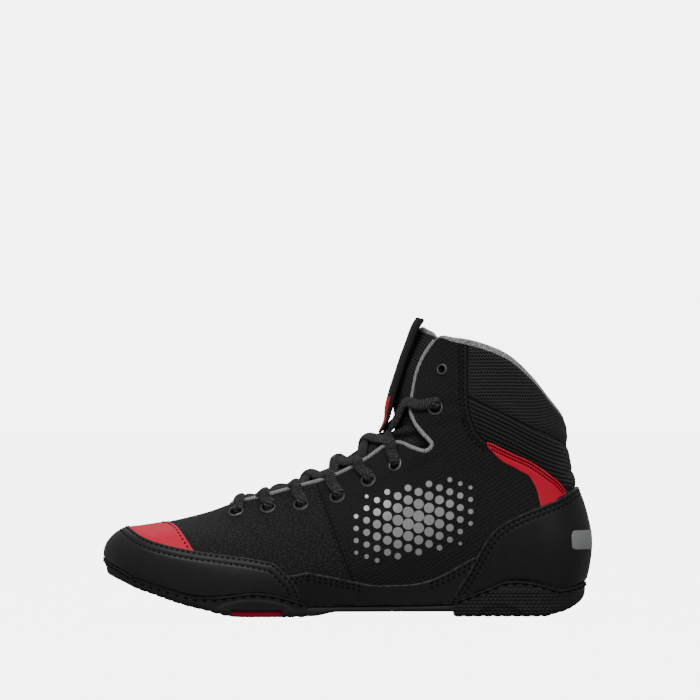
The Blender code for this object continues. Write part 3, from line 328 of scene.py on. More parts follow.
def make_net():
    """The loops of control values that the surface of the last is read from."""
    foot = column(SIDE, "foot")
    net = {
        "foot_x": mirrored(place(foot)),
        "foot_z": mirrored(under_line(foot) + SOLE_THICKNESS * column(SIDE, "sole")),
        "edge": mirrored(SOLE_THICKNESS * column(SIDE, "edge")),
        "top_x": mirrored(place(column(SIDE, "top"))),
        "top_z": mirrored(height(column(SIDE, "crest"))),
        "toe": mirrored(column(SIDE, "toe")),
        "heel": mirrored(column(SIDE, "heel")),
        "bend": mirrored(BALL_WIDTH * column(SIDE, "bend")),
    }
    half = 0.5 * BALL_WIDTH
    lateral = column(WIDTH, "lateral")
    fuller = column(WIDTH, "medial") - lateral
    levels = [lateral] + [column(WIDTH, name) for name in ("low", "middle", "high", "top")]
    for k, level in enumerate(levels):
        fade = (1.0 - k / 4.0) ** 2
        net[f"level{k}"] = half * sided(level, level + fuller * fade)
    return net


NET = make_net()


def station(turn):
    """Station number of a turn, counted from the heel on either side."""
    return TOE - np.abs(np.mod(turn, ROUND) - TOE)


def skin(turn, rise):
    """Outer face of the upper. turn goes round by stations, rise from the feather edge to the topline."""
    turn, rise = np.broadcast_arrays(np.asarray(turn, float), np.asarray(rise, float))
    shape = turn.shape
    turn = turn.ravel()
    rise = rise.ravel()
    foot_x, foot_z = around(NET["foot_x"], turn), around(NET["foot_z"], turn)
    top_x, top_z = around(NET["top_x"], turn), around(NET["top_z"], turn)
    x = foot_x + (top_x - foot_x) * rise
    z = foot_z + (top_z - foot_z) * rise
    toe = around(NET["toe"], turn)
    ridge_rises, ridge_places, ridge_heights = zip(*TOE_RIDGE)
    ridge_x = place(smooth(zip(ridge_rises, ridge_places), rise))
    ridge_z = height(smooth(zip(ridge_rises, ridge_heights), rise))
    ridge_z = ridge_z + (NET["foot_z"][TOE] - height(TOE_RIDGE[0][2])) * (1 - rise)
    x = x + toe * (ridge_x - NET["foot_x"][TOE] * (1 - rise) - NET["top_x"][TOE] * rise)
    z = z + toe * (ridge_z - NET["foot_z"][TOE] * (1 - rise) - NET["top_z"][TOE] * rise)
    x = x + around(NET["heel"], turn) * LENGTH * smooth(HEEL_CURVE, rise)
    levels = [around(NET[f"level{k}"], turn) for k in range(5)]
    y = across(levels, rise) + around(NET["bend"], turn) * (1 - rise)
    return np.stack([x, y, z], axis=-1).reshape(*shape, 3)


def outward(turn, rise):
    """Unit normal of the upper's outer face."""
    step = 0.02
    along = skin(turn + step, rise) - skin(turn - step, rise)
    up = skin(turn, rise + 0.5 * step) - skin(turn, rise - 0.5 * step)
    return unit(np.cross(up, along))


def on_upper(turn, rise, out):
    """Point at a distance outside the upper's outer face."""
    turn, rise, out = np.broadcast_arrays(*(np.asarray(v, float) for v in (turn, rise, out)))
    return skin(turn, rise) + outward(turn, rise) * out[..., None]


def wall(turn, rise):
    """Thickness of the upper: thin over the foot, padded round the collar."""
    turn, rise = np.broadcast_arrays(np.asarray(turn, float), np.asarray(rise, float))
    back = np.clip((9.0 - station(turn)) / 2.5, 0.0, 1.0)
    high = np.clip((rise - 0.45) / 0.3, 0.0, 1.0)
    return WALL + (COLLAR_WALL - WALL) * back * high


def rise_at(turn, edge):
    """Rise at which each station's line first climbs past an edge drawn in the side view."""
    turn = np.atleast_1d(np.asarray(turn, float))
    rises = np.linspace(0.0, 1.0, 161)
    points = skin(turn[:, None], rises[None, :])
    over = points[..., 2] - height(smooth(edge, share_of(points[..., 0])))
    found = np.zeros(len(turn))
    for i, line in enumerate(over):
        above = np.nonzero(line >= 0.0)[0]
        if len(above) == 0:
            found[i] = 1.0
        elif above[0] > 0:
            k = above[0]
            found[i] = rises[k - 1] + (rises[k] - rises[k - 1]) * line[k - 1] / (line[k - 1] - line[k])
    return found


def rise_step(turn, rise, distance):
    """Change of rise that moves a point by a distance up the upper."""
    step = 0.01
    pace = np.linalg.norm(skin(turn, rise + step) - skin(turn, rise - step), axis=-1) / (2 * step)
    return distance / pace


def lip_rise(turn):
    """Rise of the rubber's stitched top edge, forefoot or heel."""
    turn = np.atleast_1d(np.asarray(turn, float))
    front = rise_at(turn, FRONT_LIP)
    rear = rise_at(turn, REAR_LIP)
    return np.clip(np.where(station(turn) > 10.0, front, rear), 0.018, 0.30)


def above(edge, distance):
    """Rise of an edge moved up by a distance, as a function of the stations."""
    def rise(stations):
        """Rise of the moved edge at some stations."""
        found = rise_at(stations, edge)
        return found + rise_step(np.asarray(stations, float), found, distance)
    return rise


def narrow_end(edge_low, edge_high, start, stop):
    """Station at which the room between two edges has closed to a narrow tip."""
    stations = np.linspace(start, stop, 121)
    room = edge_high(stations) - edge_low(stations)
    tip = TIP_WIDTH / INSTEP_HEIGHT
    closed = np.nonzero(room < tip)[0]
    return stations[closed[0] - 1] if len(closed) else stop


def tongue_row(at, side_at, side_rise, crown, count):
    """Front face of the tongue across one station of the throat, and the way that it faces."""
    turns = np.array([side_at, at, ROUND - at, ROUND - side_at])
    rises = np.array([side_rise, 0.97, 0.97, side_rise])
    inset = -(wall(turns, rises) + 4 * GAP)
    wing_a, edge_a, edge_b, wing_b = on_upper(turns, rises, inset)
    facing = outward(turns[1:3], rises[1:3]).sum(axis=0)
    facing[1] = 0.0
    facing /= np.linalg.norm(facing)
    middle = 0.5 * (edge_a + edge_b) + facing * crown * TONGUE_CROWN
    knots = np.array([0.0, 0.2, 0.5, 0.8, 1.0])
    shares = np.linspace(0.0, 1.0, count)
    across_way = zip(wing_a, edge_a, middle, edge_b, wing_b)
    row = np.stack([smooth(zip(knots, values), shares) for values in across_way], axis=-1)
    return row, facing


def spot_at(x, z):
    """Turn and rise of the point of the lateral side that shows at a place in the side view."""
    stations = np.linspace(6.5, 20.5, 281)
    rises = np.linspace(0.6, 1.0, 161)
    points = skin(stations[:, None], rises[None, :])
    far = np.hypot(points[..., 0] - x, points[..., 2] - z)
    i, j = np.unravel_index(np.argmin(far), far.shape)
    return float(stations[i]), float(rises[j])


def axes_at(turn, rise):
    """Origin, two tangents and the normal of the upper at a point."""
    origin = skin(turn, rise)
    normal = outward(turn, rise)
    up = skin(turn, rise + 0.01) - skin(turn, rise - 0.01)
    up = unit(up - normal * np.dot(up, normal))
    return origin, up, np.cross(normal, up), normal


def tongue_spot(at, across_share, lift):
    """Point above the tongue's front face at a station of the throat, and the way that it faces."""
    rows = np.array(TONGUE[::-1])
    side_at, side_rise, crown = (float(np.interp(at, rows[:, 0], rows[:, k])) for k in (1, 2, 3))
    row, facing = tongue_row(at, side_at, side_rise, crown, 41)
    last = len(row) - 1
    k = int(round(across_share * last))
    tilt = row[min(k + 1, last)] - row[max(k - 1, 0)]
    normal = unit(np.cross(tilt, np.cross(facing, tilt)))
    return row[k] + normal * lift, normal


def throat_station(spot):
    """Station of the topline that lies nearest to an eyelet."""
    stations = np.linspace(7.5, 20.5, 521)
    far = np.linalg.norm(skin(stations, 1.0) - skin(*spot), axis=-1)
    return float(stations[np.argmin(far)])


# Seams of the cloth, drawn in the side view
VAMP_SEAM = (
    (0.439, 0.785), (0.443, 0.732), (0.453, 0.663), (0.472, 0.512), (0.492, 0.360), (0.510, 0.221),
    (0.518, 0.145),
)
COLLAR_SEAM = (
    (0.743, 2.059), (0.743, 1.937), (0.743, 1.506), (0.746, 1.319), (0.752, 1.206), (0.766, 1.084),
    (0.791, 0.994), (0.835, 0.942), (0.878, 0.884), (0.907, 0.825), (0.929, 0.773), (0.947, 0.732),
    (0.967, 0.747), (1.018, 0.808),
)
MESH_SEAM = (
    (0.734, 1.469), (0.750, 1.431), (0.789, 1.337), (0.831, 1.244), (0.874, 1.150), (0.911, 1.075),
    (0.945, 0.988), (0.994, 0.913),
)
SHORT_SEAM = ((0.916, 0.790), (0.937, 0.820), (0.957, 0.837), (0.985, 0.850))
# Throat edge inside the ankle bay
BAY_EDGE = (
    (0.604, 1.009), (0.632, 0.977), (0.655, 0.957), (0.668, 0.975), (0.670, 1.010), (0.648, 1.122),
    (0.634, 1.225), (0.629, 1.330),
)
# Front corners of the bay's cut, clear of the cloth: place along the length, upper and lower height
BAY_CLEAR = (0.560, 1.40, 1.05)
# Soft folds of the cloth. Columns: place and height of the middle, slope in degrees, length and width in
# millimetres, depth as a share of FOLD_DEPTH
FOLDS = {
    "columns": ("place", "height", "slope", "length", "width", "depth"),
    "rows": (
        (0.345, 0.520, -62.0, 26.0, 5.0, 0.9),
        (0.395, 0.560, -70.0, 22.0, 5.5, 0.7),
        (0.300, 0.500, -40.0, 24.0, 5.0, 0.5),
        (0.560, 0.740, 38.0, 34.0, 6.0, 0.6),
        (0.640, 0.850, 30.0, 30.0, 6.5, 0.8),
        (0.690, 0.700, 24.0, 40.0, 7.0, 0.6),
        (0.700, 1.180, 12.0, 22.0, 6.0, 0.9),
        (0.690, 1.350, 4.0, 20.0, 6.0, 0.6),
        (0.590, 0.520, 26.0, 44.0, 8.0, 0.5),
        (0.860, 1.040, -38.0, 34.0, 6.0, 0.6),
        (0.850, 1.330, -36.0, 36.0, 8.0, 0.6),
    ),
}
# Depths of the folds and of the pulled seams, and the swell and the width of the padded edge
FOLD_DEPTH = 0.0008
SEAM_DEPTH = 0.0009
PAD_PUFF = 0.0013
PAD_EDGE = 0.006

# Fineness of the upper: turns a station, rows up its outside and up its lining
COLUMNS = 10
CLOTH_ROWS = 110
LINING_ROWS = 44
# Panels: rolled edge, pressed stitch channels, and how far face and back stand off the cloth
EDGE_ROLL = 0.0006
CHANNEL_DEPTH = 0.00034
CHANNEL_WIDTH = 0.0008
PANEL_FOOT = 0.00008
PANEL_BACK = 0.00004
ON_PANEL = GAP + OVERLAY - CHANNEL_DEPTH
# The thin panels lie closer to the cloth than the cap and the counter
THIN_LIFT = 0.5 * GAP
RAND_THICK = 0.6 * OVERLAY
TOE_FLASH_THICK = 0.45 * OVERLAY
# Stitch rows: distances below a panel's top edge
CAP_ROWS = (0.0017, 0.0053)
TOE_FLASH_ROWS = (0.0019,)
RAND_ROWS = (0.0018, 0.0042)
COUNTER_ROWS = (0.0024, 0.0049)
FLASH_ROWS = (0.0014, 0.0031)
# Thread: pitch, length of a stitch and half thickness
PANEL_THREAD = (0.0033, 0.0024, 0.00048)
LIP_THREAD = (0.0056, 0.0042, 0.00062)
FLASH_THREAD = (0.0016, 0.0022, 0.00042)
SEAM_THREAD = (0.0030, 0.0016, 0.00038)
ZIGZAG_THREAD = (0.0012, 0.0013, 0.00020)
# Stitch rows beside the vamp seam and the collar seam, and the sides of the zigzag strip
VAMP_ROWS = (0.0014, -0.0014)
COLLAR_ROWS = (-0.0022, -0.0050)
ZIGZAG = (-0.0024, -0.0052)
# Radius of the grey cord, its rise along the throat, and the band of lining below the topline
PIPING = 0.00130
THROAT_RISE = 0.997
LINING_BAND = 0.0034
# Rolled lip of the rubber: distance below its edge, share of LIP that it stands out
LIP_ROLL = (
    (0.0, 0.45), (0.00008, 0.75), (0.0003, 0.95), (0.0007, 1.0), (0.0010, 1.0), (0.0013, 0.70),
    (0.0019, 0.70), (0.0022, 1.0), (0.0026, 1.04),
)
# Tread lugs: height, pitch, room at the sole's edge, and rings of one lug as radius and level
LUG_HEIGHT = 0.0004
LUG_PITCH = 0.0056
LUG_ROOM = 0.0050
LUG_RINGS = ((0.0021, LUG_HEIGHT + 0.0003), (0.0019, 0.00035), (0.0017, 0.0001))
# Printed dots: pitch, radius of the middle one and of the smallest, thickness, middle and slope of the field
DOT_PITCH = 0.0075
DOT_RADIUS = 0.0033
DOT_LEAST = 0.0010
DOT_THICK = 0.00022
DOT_MIDDLE = (0.634, 0.560)
DOT_LEAN = math.radians(24.0)
# How far a ring spreads past the hole's own flange
RIM_SPREAD = 1.14
# Pitch of the ribs across the lace, how far it swells past its CAD width, and its room over the cloth
LACE_RIB = 0.0013
LACE_FULL = 1.28
LACE_LIFT = 0.5 * LACE_THICKNESS + 0.0002
MM = 1000.0


def smoothstep(value, low, high):
    """0 at one value and 1 at another, soft between them."""
    share = np.clip((value - low) / (high - low), 0.0, 1.0)
    return share * share * (3.0 - 2.0 * share)


def curve_through(points, step):
    """Evenly spaced points on a smooth curve through a few."""
    points = np.asarray(points, float)
    ends = np.vstack([2 * points[0] - points[1], points, 2 * points[-1] - points[-2]])
    s = np.linspace(0.0, 1.0, 16, endpoint=False)[:, None]
    fine = [cubic(*four, s) for four in zip(ends, ends[1:], ends[2:], ends[3:])]
    fine = np.vstack([*fine, points[-1:]])
    lengths = lengths_along(fine)
    at = np.linspace(0.0, lengths[-1], max(2, int(round(lengths[-1] / step)) + 1))
    return read_along(at, lengths, fine)


def read_along(at, knots, values):
    """Values between known ones along a line, each column by itself."""
    return np.stack([np.interp(at, knots, column_of) for column_of in np.asarray(values).T], axis=-1)


def side_curve(line, step=0.0005):
    """X and z along a line drawn in the side view."""
    shares = np.array(line)
    return curve_through(np.column_stack([place(shares[:, 0]), height(shares[:, 1])]), step)


def nearest(path, points):
    """Distance from each point to a path, and the number of the path's nearest point."""
    tree = kdtree.KDTree(len(path))
    for k, point in enumerate(path):
        tree.insert(point, k)
    tree.balance()
    found = [tree.find(point)[1:] for point in points]
    numbers, far = zip(*found)
    return np.array(far), np.array(numbers)


def beyond(line, x, z):
    """Signed distance from a line drawn in the side view, positive on the left as it is walked."""
    curve = side_curve(line)
    flat = np.column_stack([curve[:, 0], np.zeros(len(curve)), curve[:, 1]])
    points = np.column_stack([x.ravel(), np.zeros(x.size), z.ravel()])
    far, numbers = nearest(flat, points)
    along = np.gradient(curve, axis=0)[numbers]
    off = points[:, [0, 2]] - curve[numbers]
    left = along[:, 0] * off[:, 1] - along[:, 1] * off[:, 0]
    return (np.sign(left) * far).reshape(x.shape)


# A coarse net of places on the lateral side, where a search starts
NET_TURNS, NET_RISES = np.meshgrid(np.linspace(0.2, 20.8, 207), np.linspace(0.0, 1.0, 81), indexing="ij")
NET_PLACES = skin(NET_TURNS, NET_RISES)


def by_step(turns, rises, step=0.01):
    """How far a point of the upper moves with its turn and with its rise."""
    by_turn = (skin(turns + step, rises) - skin(turns - step, rises)) / (2 * step)
    by_rise = (skin(turns, rises + step) - skin(turns, rises - step)) / (2 * step)
    return by_turn, by_rise


def spots(x, z):
    """Turns and rises of the points of the lateral side that show at places in the side view."""
    x, z = np.atleast_1d(x), np.atleast_1d(z)
    flat = NET_PLACES.reshape(-1, 3) * np.array([1.0, 0.0, 1.0])
    numbers = nearest(flat, np.column_stack([x, np.zeros(len(x)), z]))[1]
    turns, rises = NET_TURNS.ravel()[numbers], NET_RISES.ravel()[numbers]
    for _ in range(4):
        here = skin(turns, rises)
        by_turn, by_rise = by_step(turns, rises)
        a, b, c, d = by_turn[:, 0], by_rise[:, 0], by_turn[:, 2], by_rise[:, 2]
        room = a * d - b * c
        room = np.where(np.abs(room) < 1e-7, 1e-7, room)
        off_x, off_z = x - here[:, 0], z - here[:, 2]
        turns = turns + np.clip((d * off_x - b * off_z) / room, -0.2, 0.2)
        rises = rises + np.clip((a * off_z - c * off_x) / room, -0.05, 0.05)
    return turns, rises


def inset(turns, rises, distance, steps=4):
    """A line on the upper moved sideways over its surface, to the right as it is walked."""
    turns, rises = np.array(turns, float), np.array(rises, float)
    for _ in range(steps):
        path = skin(turns, rises)
        along = np.gradient(path, axis=0)
        side = np.cross(along, outward(turns, rises))
        side *= distance / steps / np.linalg.norm(side, axis=-1, keepdims=True)
        by_turn, by_rise = by_step(turns, rises)
        pairs = ((by_turn, by_turn), (by_turn, by_rise), (by_rise, by_rise))
        tt, tr, rr = ((p * q).sum(axis=-1) for p, q in pairs)
        ts, rs = (by_turn * side).sum(axis=-1), (by_rise * side).sum(axis=-1)
        room = tt * rr - tr * tr
        turns = turns + (rr * ts - tr * rs) / room
        rises = rises + (tt * rs - tr * ts) / room
    return turns, rises


def grid_faces(rows, columns, round_rows=False, round_columns=False, first=0):
    """Quads between the points of a grid, closed in either direction."""
    i, j = np.meshgrid(
        np.arange(rows if round_rows else rows - 1),
        np.arange(columns if round_columns else columns - 1),
        indexing="ij",
    )
    i, j = i.ravel(), j.ravel()
    n, m = (i + 1) % rows, (j + 1) % columns
    quads = np.stack([i * columns + j, i * columns + m, n * columns + m, n * columns + j], axis=-1)
    return (quads + first).tolist()


def tube_faces(rings, sides, first=0):
    """Faces of a tube of rings, closed at both ends."""
    last = first + (rings - 1) * sides
    ends = [[first + k for k in reversed(range(sides))], [last + k for k in range(sides)]]
    return grid_faces(rings, sides, round_columns=True, first=first) + ends


def slab_faces(rings):
    """Faces of a slab of closed sections side by side, its two end sections included."""
    rows, count = rings.shape[:2]
    ends = [[k * count for k in range(rows)], [k * count + count - 1 for k in reversed(range(rows))]]
    return grid_faces(rows, count, round_rows=True) + ends


def new_object(name, data):
    """A new object in the scene."""
    made = bpy.data.objects.new(name, data)
    bpy.context.scene.collection.objects.link(made)
    return made


def add_piece(name, points, faces, finish, slot, stands_for=(), marks=None, sharp=50.0):
    """A closed piece of the shoe that rides on its one body."""
    mesh = bpy.data.meshes.new(name)
    mesh.from_pydata(np.asarray(points).reshape(-1, 3).tolist(), [], faces)
    for mark, values in (marks or {}).items():
        values = np.asarray(values, float)
        layer = mesh.attributes.new(mark, "FLOAT_VECTOR" if values.shape[-1:] == (3,) else "FLOAT", "POINT")
        field = "vector" if values.shape[-1:] == (3,) else "value"
        layer.data.foreach_set(field, values.ravel())
    shape = bmesh.new()
    shape.from_mesh(mesh)
    bmesh.ops.remove_doubles(shape, verts=shape.verts, dist=2e-6)
    bmesh.ops.recalc_face_normals(shape, faces=shape.faces)
    if shape.calc_volume(signed=True) < 0:
        bmesh.ops.reverse_faces(shape, faces=shape.faces)
    shape.to_mesh(mesh)
    shape.free()
    mesh.shade_smooth()
    mesh.set_sharp_from_angle(angle=math.radians(sharp))
    mesh.materials.append(finish)
    made = new_object(name, mesh)
    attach(made, "root")
    if stands_for:
        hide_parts(*stands_for)
    return made


def cut_away(piece, cutter):
    """Cut one piece by another and drop the cutter."""
    cut = piece.modifiers.new("cut", "BOOLEAN")
    cut.operation = "DIFFERENCE"
    cut.object = cutter
    cut.solver = "EXACT"
    seen = bpy.context.evaluated_depsgraph_get()
    piece.data = bpy.data.meshes.new_from_object(piece.evaluated_get(seen))
    piece.modifiers.clear()
    bpy.data.objects.remove(cutter)


def folds(x, z):
    """Depth of the soft folds at places in the side view."""
    depth = np.zeros_like(x)
    for share, high, slope, length, width, much in FOLDS["rows"]:
        turn = math.radians(slope)
        off_x = (x - place(share)) * MM
        off_z = (z - height(high)) * MM
        along = off_x * math.cos(turn) + off_z * math.sin(turn)
        over = -off_x * math.sin(turn) + off_z * math.cos(turn) + 0.004 * along**2
        fade = np.exp(-((along / (0.5 * length)) ** 4))
        dent = np.exp(-((over / (0.5 * width)) ** 2))
        bulge = 0.45 * np.exp(-(((over - width) / width) ** 2))
        depth += much * FOLD_DEPTH * fade * (dent - bulge)
    return depth


def cloth_places(points):
    """Arc lengths round and up a grid of points, rows going up, for the weave to follow."""
    middle = points[len(points) * 3 // 5]
    pace = np.linalg.norm(np.diff(middle, axis=0, append=middle[:1]), axis=-1)
    round_at = np.concatenate([[0.0], np.cumsum(pace)[:-1]])
    climb = np.linalg.norm(np.diff(points, axis=0, prepend=points[:1]), axis=-1)
    up_at = np.cumsum(climb, axis=0)
    round_at = np.broadcast_to(round_at, up_at.shape)
    return np.stack([round_at, up_at, np.zeros_like(up_at)], axis=-1)


def cloth_relief(turns, rises, points):
    """How far the cloth stands out: padded panels, seams and folds, and its marks for the finish."""
    x, z = points[..., 0], points[..., 2]
    seams = (COLLAR_SEAM, MESH_SEAM, VAMP_SEAM, SHORT_SEAM)
    collar, mesh, vamp, short = (beyond(seam, x, z) for seam in seams)
    below_top = (1.0 - rises) / rise_step(turns, rises, 1.0)
    padded = smoothstep(collar, 0.0, PAD_EDGE) * smoothstep(below_top, 0.001, 0.007)
    puff = PAD_PUFF * padded * (1.0 - 0.85 * np.exp(-((mesh / 0.0022) ** 2)))
    puff = puff * (1.0 - 0.5 * np.exp(-((short / 0.0012) ** 2)))
    seams = SEAM_DEPTH * (np.exp(-((collar / 0.0009) ** 2)) + 0.6 * np.exp(-((vamp / 0.0007) ** 2)))
    seams = seams * smoothstep(z, 0.02, 0.04)
    relief = puff - seams - folds(x, z) * smoothstep(below_top, 0.002, 0.010) * smoothstep(z, 0.028, 0.040)
    marks = {"collar": collar * MM, "mesh": mesh * MM, "vamp": vamp * MM, "top": below_top * MM}
    return relief, marks


def build_upper(finish):
    """Hollow lasted upper: cloth outside, rolled topline, lining inside, bay and eyelet holes cut."""
    turns = np.arange(ROUND * COLUMNS) / COLUMNS
    roll = 0.5 * wall(turns, 1.0)
    low_top = 1.0 - rise_step(turns, np.ones_like(turns), roll)
    rises = np.linspace(0.0, 1.0, CLOTH_ROWS)[:, None] * low_top[None, :]
    turns_out = np.broadcast_to(turns, rises.shape)
    base = skin(turns_out, rises)
    relief, marks = cloth_relief(turns_out, rises, base)
    outer = base + outward(turns_out, rises) * relief[..., None]
    places = cloth_places(base)
    bend = np.linspace(0.0, math.pi, 9)[1:-1, None]
    bead_rises = low_top + rise_step(turns, np.ones_like(turns), roll) * np.sin(bend)
    bead = on_upper(np.broadcast_to(turns, bead_rises.shape), bead_rises, -roll * (1.0 - np.cos(bend)))
    inner_rises = np.linspace(1.0, 0.0, LINING_ROWS)[:, None] * low_top[None, :]
    turns_in = np.broadcast_to(turns, inner_rises.shape)
    inner = on_upper(turns_in, inner_rises, -wall(turns_in, inner_rises))
    rows = [outer, bead, inner]
    points = np.concatenate(rows)
    last_marks = {name: np.broadcast_to(values[-1:], bead.shape[:2]) for name, values in marks.items()}
    filled = {
        name: np.concatenate([values, last_marks[name], np.broadcast_to(values[-1:], inner.shape[:2])])
        for name, values in marks.items()
    }
    filled["top"] = np.concatenate([marks["top"], np.zeros(bead.shape[:2]), np.zeros(inner.shape[:2])])
    parts_inside = [np.full(part.shape[:2], share) for part, share in zip(rows, (0.0, 0.5, 1.0))]
    filled["inside"] = np.concatenate(parts_inside)
    filled["station"] = np.broadcast_to(station(turns), points.shape[:2])
    inner_places = cloth_places(inner[::-1])[::-1]
    bead_places = np.broadcast_to(places[-1:], bead.shape)
    filled["cloth"] = np.concatenate([places, bead_places, inner_places]).reshape(-1, 3)
    count = len(points)
    faces = grid_faces(count, len(turns), round_rows=True, round_columns=True)
    flat = {name: (values if name == "cloth" else np.ravel(values)) for name, values in filled.items()}
    made = add_piece("upper_cloth", points, faces, finish, "fabric", ("upper",), flat)
    cut_away(made, upper_cutter())
    return made


def prism(corners_xz, half):
    """A straight block through both sides from an outline in the side view."""
    count = len(corners_xz)
    points = [(x, y, z) for y in (-half, half) for x, z in corners_xz]
    faces = [tuple(range(count)), tuple(reversed(range(count, 2 * count)))]
    for k in range(count):
        n = (k + 1) % count
        faces.append((n, k, count + k, count + n))
    return points, faces


def upper_cutter():
    """One mesh that cuts the ankle bay and every eyelet hole."""
    clear_at, clear_top, clear_foot = BAY_CLEAR
    clear = [[float(place(clear_at)), float(height(crest))] for crest in (clear_top, clear_foot)]
    corners = np.vstack([side_curve(BAY_EDGE, 0.0009), clear])
    points, faces = prism(corners, BALL_WIDTH)
    sides = 24
    for share, crest, size in EYELETS:
        turn, rise = spot_at(place(share), height(crest))
        for at in (turn, ROUND - turn):
            origin, up, side, normal = axes_at(at, rise)
            radius = 0.5 * EYELET_HOLE * size + EYELET_WALL + GAP
            base = len(points)
            for level in (-2.5 * COLLAR_WALL, 2.5 * COLLAR_WALL):
                for k in range(sides):
                    angle = 2 * math.pi * k / sides
                    arm = math.cos(angle) * up + math.sin(angle) * side
                    points.append(origin + arm * radius + normal * level)
            faces.append(tuple(base + k for k in reversed(range(sides))))
            faces.append(tuple(base + sides + k for k in range(sides)))
            for k in range(sides):
                n = (k + 1) % sides
                faces.append((base + k, base + n, base + sides + n, base + sides + k))
    mesh = bpy.data.meshes.new("upper_cuts")
    mesh.from_pydata([tuple(p) for p in points], [], faces)
    shape = bmesh.new()
    shape.from_mesh(mesh)
    bmesh.ops.recalc_face_normals(shape, faces=shape.faces)
    shape.to_mesh(mesh)
    shape.free()
    return new_object("upper_cuts", mesh)


def columns_between(first, last, count_each=12):
    """Turns from one station to another, fine enough for a round edge."""
    count = max(6, int(round(abs(last - first) * count_each)))
    return np.linspace(first, last, count + 1)


def overlay(name, slot, finish, turns, low, high, rows=34, thick=OVERLAY, lift=GAP, channels=(),
            stands_for=()):
    """A cut panel on the cloth, with rolled edges and pressed stitch channels below its top edge."""
    turns, low, high = (np.array(v, float) for v in (turns, low, high))
    for k in (0, -1):
        low[k] = high[k] = 0.5 * (low[k] + high[k])
    share = np.linspace(0.0, 1.0, rows)[:, None]
    share = 0.35 * share + 0.65 * (1.0 - (1.0 - share) ** 1.9)
    rises = low + (high - low) * share
    all_turns = np.broadcast_to(turns, rises.shape)
    base = skin(all_turns, rises)
    normals = outward(all_turns, rises)
    fine = np.linspace(turns[0], turns[-1], 6 * len(turns))
    top_path = skin(fine, np.interp(fine, turns, high) if turns[0] < turns[-1] else high)
    foot_path = skin(fine, np.interp(fine, turns, low))
    to_top = nearest(top_path, base.reshape(-1, 3))[0].reshape(rises.shape)
    to_edge = np.minimum(to_top, nearest(foot_path, base.reshape(-1, 3))[0].reshape(rises.shape))
    over = 1.0 - np.clip(to_edge / EDGE_ROLL, 0.0, 1.0)
    out = PANEL_FOOT + (lift + thick - PANEL_FOOT) * np.sqrt(np.clip(1.0 - over**2, 0.0, 1.0))
    for depth_at in channels:
        pressed = CHANNEL_DEPTH * np.exp(-(((to_top - depth_at) / CHANNEL_WIDTH) ** 2))
        out -= pressed * smoothstep(to_edge, 0.0003, 0.001)
    face = base + normals * out[..., None]
    picks = [*range(rows - 1, 0, -max(1, (rows - 1) // 6)), 0]
    back = (base + normals * PANEL_BACK)[picks]
    points = np.concatenate([face, back])
    edge = np.concatenate([to_edge, np.full(back.shape[:2], 0.002)]) * MM
    places = cloth_places(base)
    places = np.concatenate([places, np.broadcast_to(places[:1], back.shape)]).reshape(-1, 3)
    faces = grid_faces(len(points), len(turns), round_rows=True)
    return add_piece(name, points, faces, finish, slot, stands_for, {"edge": edge.ravel(), "cloth": places})


def stitches(paths, pitch, length, thread):
    """Points and faces of rows of thread stitches. Each path holds points and the normals under them."""
    sides, rings = 6, 5
    all_points, all_faces = [], []
    first = 0
    around_thread = np.linspace(0.0, 2 * math.pi, sides, endpoint=False)
    swell = np.array([0.30, 0.85, 1.0, 0.85, 0.30])
    dip = np.array([-1.5, -0.15, 0.25, -0.15, -1.5])
    for path, normals in paths:
        lengths = lengths_along(path)
        count = int(lengths[-1] / pitch)
        if count < 1:
            continue
        middles = (np.arange(count) + 0.5) * lengths[-1] / count
        at = middles[:, None] + np.linspace(-0.5, 0.5, rings)[None, :] * length
        centre, up = read_along(at, lengths, path), read_along(at, lengths, normals)
        along = centre[:, -1:] - centre[:, :1]
        side = unit(np.cross(np.broadcast_to(along, up.shape), up))
        centre = centre + up * (dip * thread)[None, :, None]
        reach = (swell * thread)[None, :, None, None]
        ring = side[:, :, None] * np.cos(around_thread)[:, None]
        ring = ring + up[:, :, None] * np.sin(around_thread)[:, None]
        points = centre[:, :, None] + ring * reach
        for k in range(count):
            all_faces += tube_faces(rings, sides, first + k * sides * rings)
        all_points.append(points.reshape(-1, 3))
        first += count * sides * rings
    return np.concatenate(all_points), all_faces


def row_on_upper(turns, rises, lift):
    """A stitch path on the upper, evenly fine."""
    return on_upper(turns, rises, lift), outward(turns, rises)


def both_sides(line, lift, shift=0.0, step=0.0006):
    """Paths under a line drawn in the side view, on both sides of the shoe.

    They are moved sideways in that view, by one distance or by several in turn.
    """
    curve = side_curve(line, step)
    along = unit(np.gradient(curve, axis=0))
    curve = curve + np.column_stack([-along[:, 1], along[:, 0]]) * np.resize(shift, len(curve))[:, None]
    turns, rises = spots(curve[:, 0], curve[:, 1])
    return [row_on_upper(turns, rises, lift), row_on_upper(ROUND - turns, rises, lift)]


def sweep(path, ups, widths, heights, sides=16):
    """Points and faces of a soft round or oval cord along a path."""
    along = unit(np.gradient(path, axis=0))
    side = unit(np.cross(along, ups))
    ups = np.cross(side, along)
    angle = np.linspace(0.0, 2 * math.pi, sides, endpoint=False)
    rings = (
        path[:, None]
        + side[:, None] * (0.5 * widths[:, None] * np.cos(angle))[..., None]
        + ups[:, None] * (0.5 * heights[:, None] * np.sin(angle))[..., None]
    )
    return rings.reshape(-1, 3), tube_faces(len(path), sides)


def joined(parts):
    """Several lists of points and faces as one."""
    points, faces = [], []
    for some, theirs in parts:
        first = sum(len(p) for p in points)
        points.append(np.asarray(some).reshape(-1, 3))
        faces += [[first + k for k in face] for face in theirs]
    return np.concatenate(points), faces


def close_above_lip(stations):
    """Rise just above the rubber's stitched edge, with hardly any room."""
    lip = lip_rise(stations)
    return lip + rise_step(np.asarray(stations, float), lip, 0.5 * GAP)


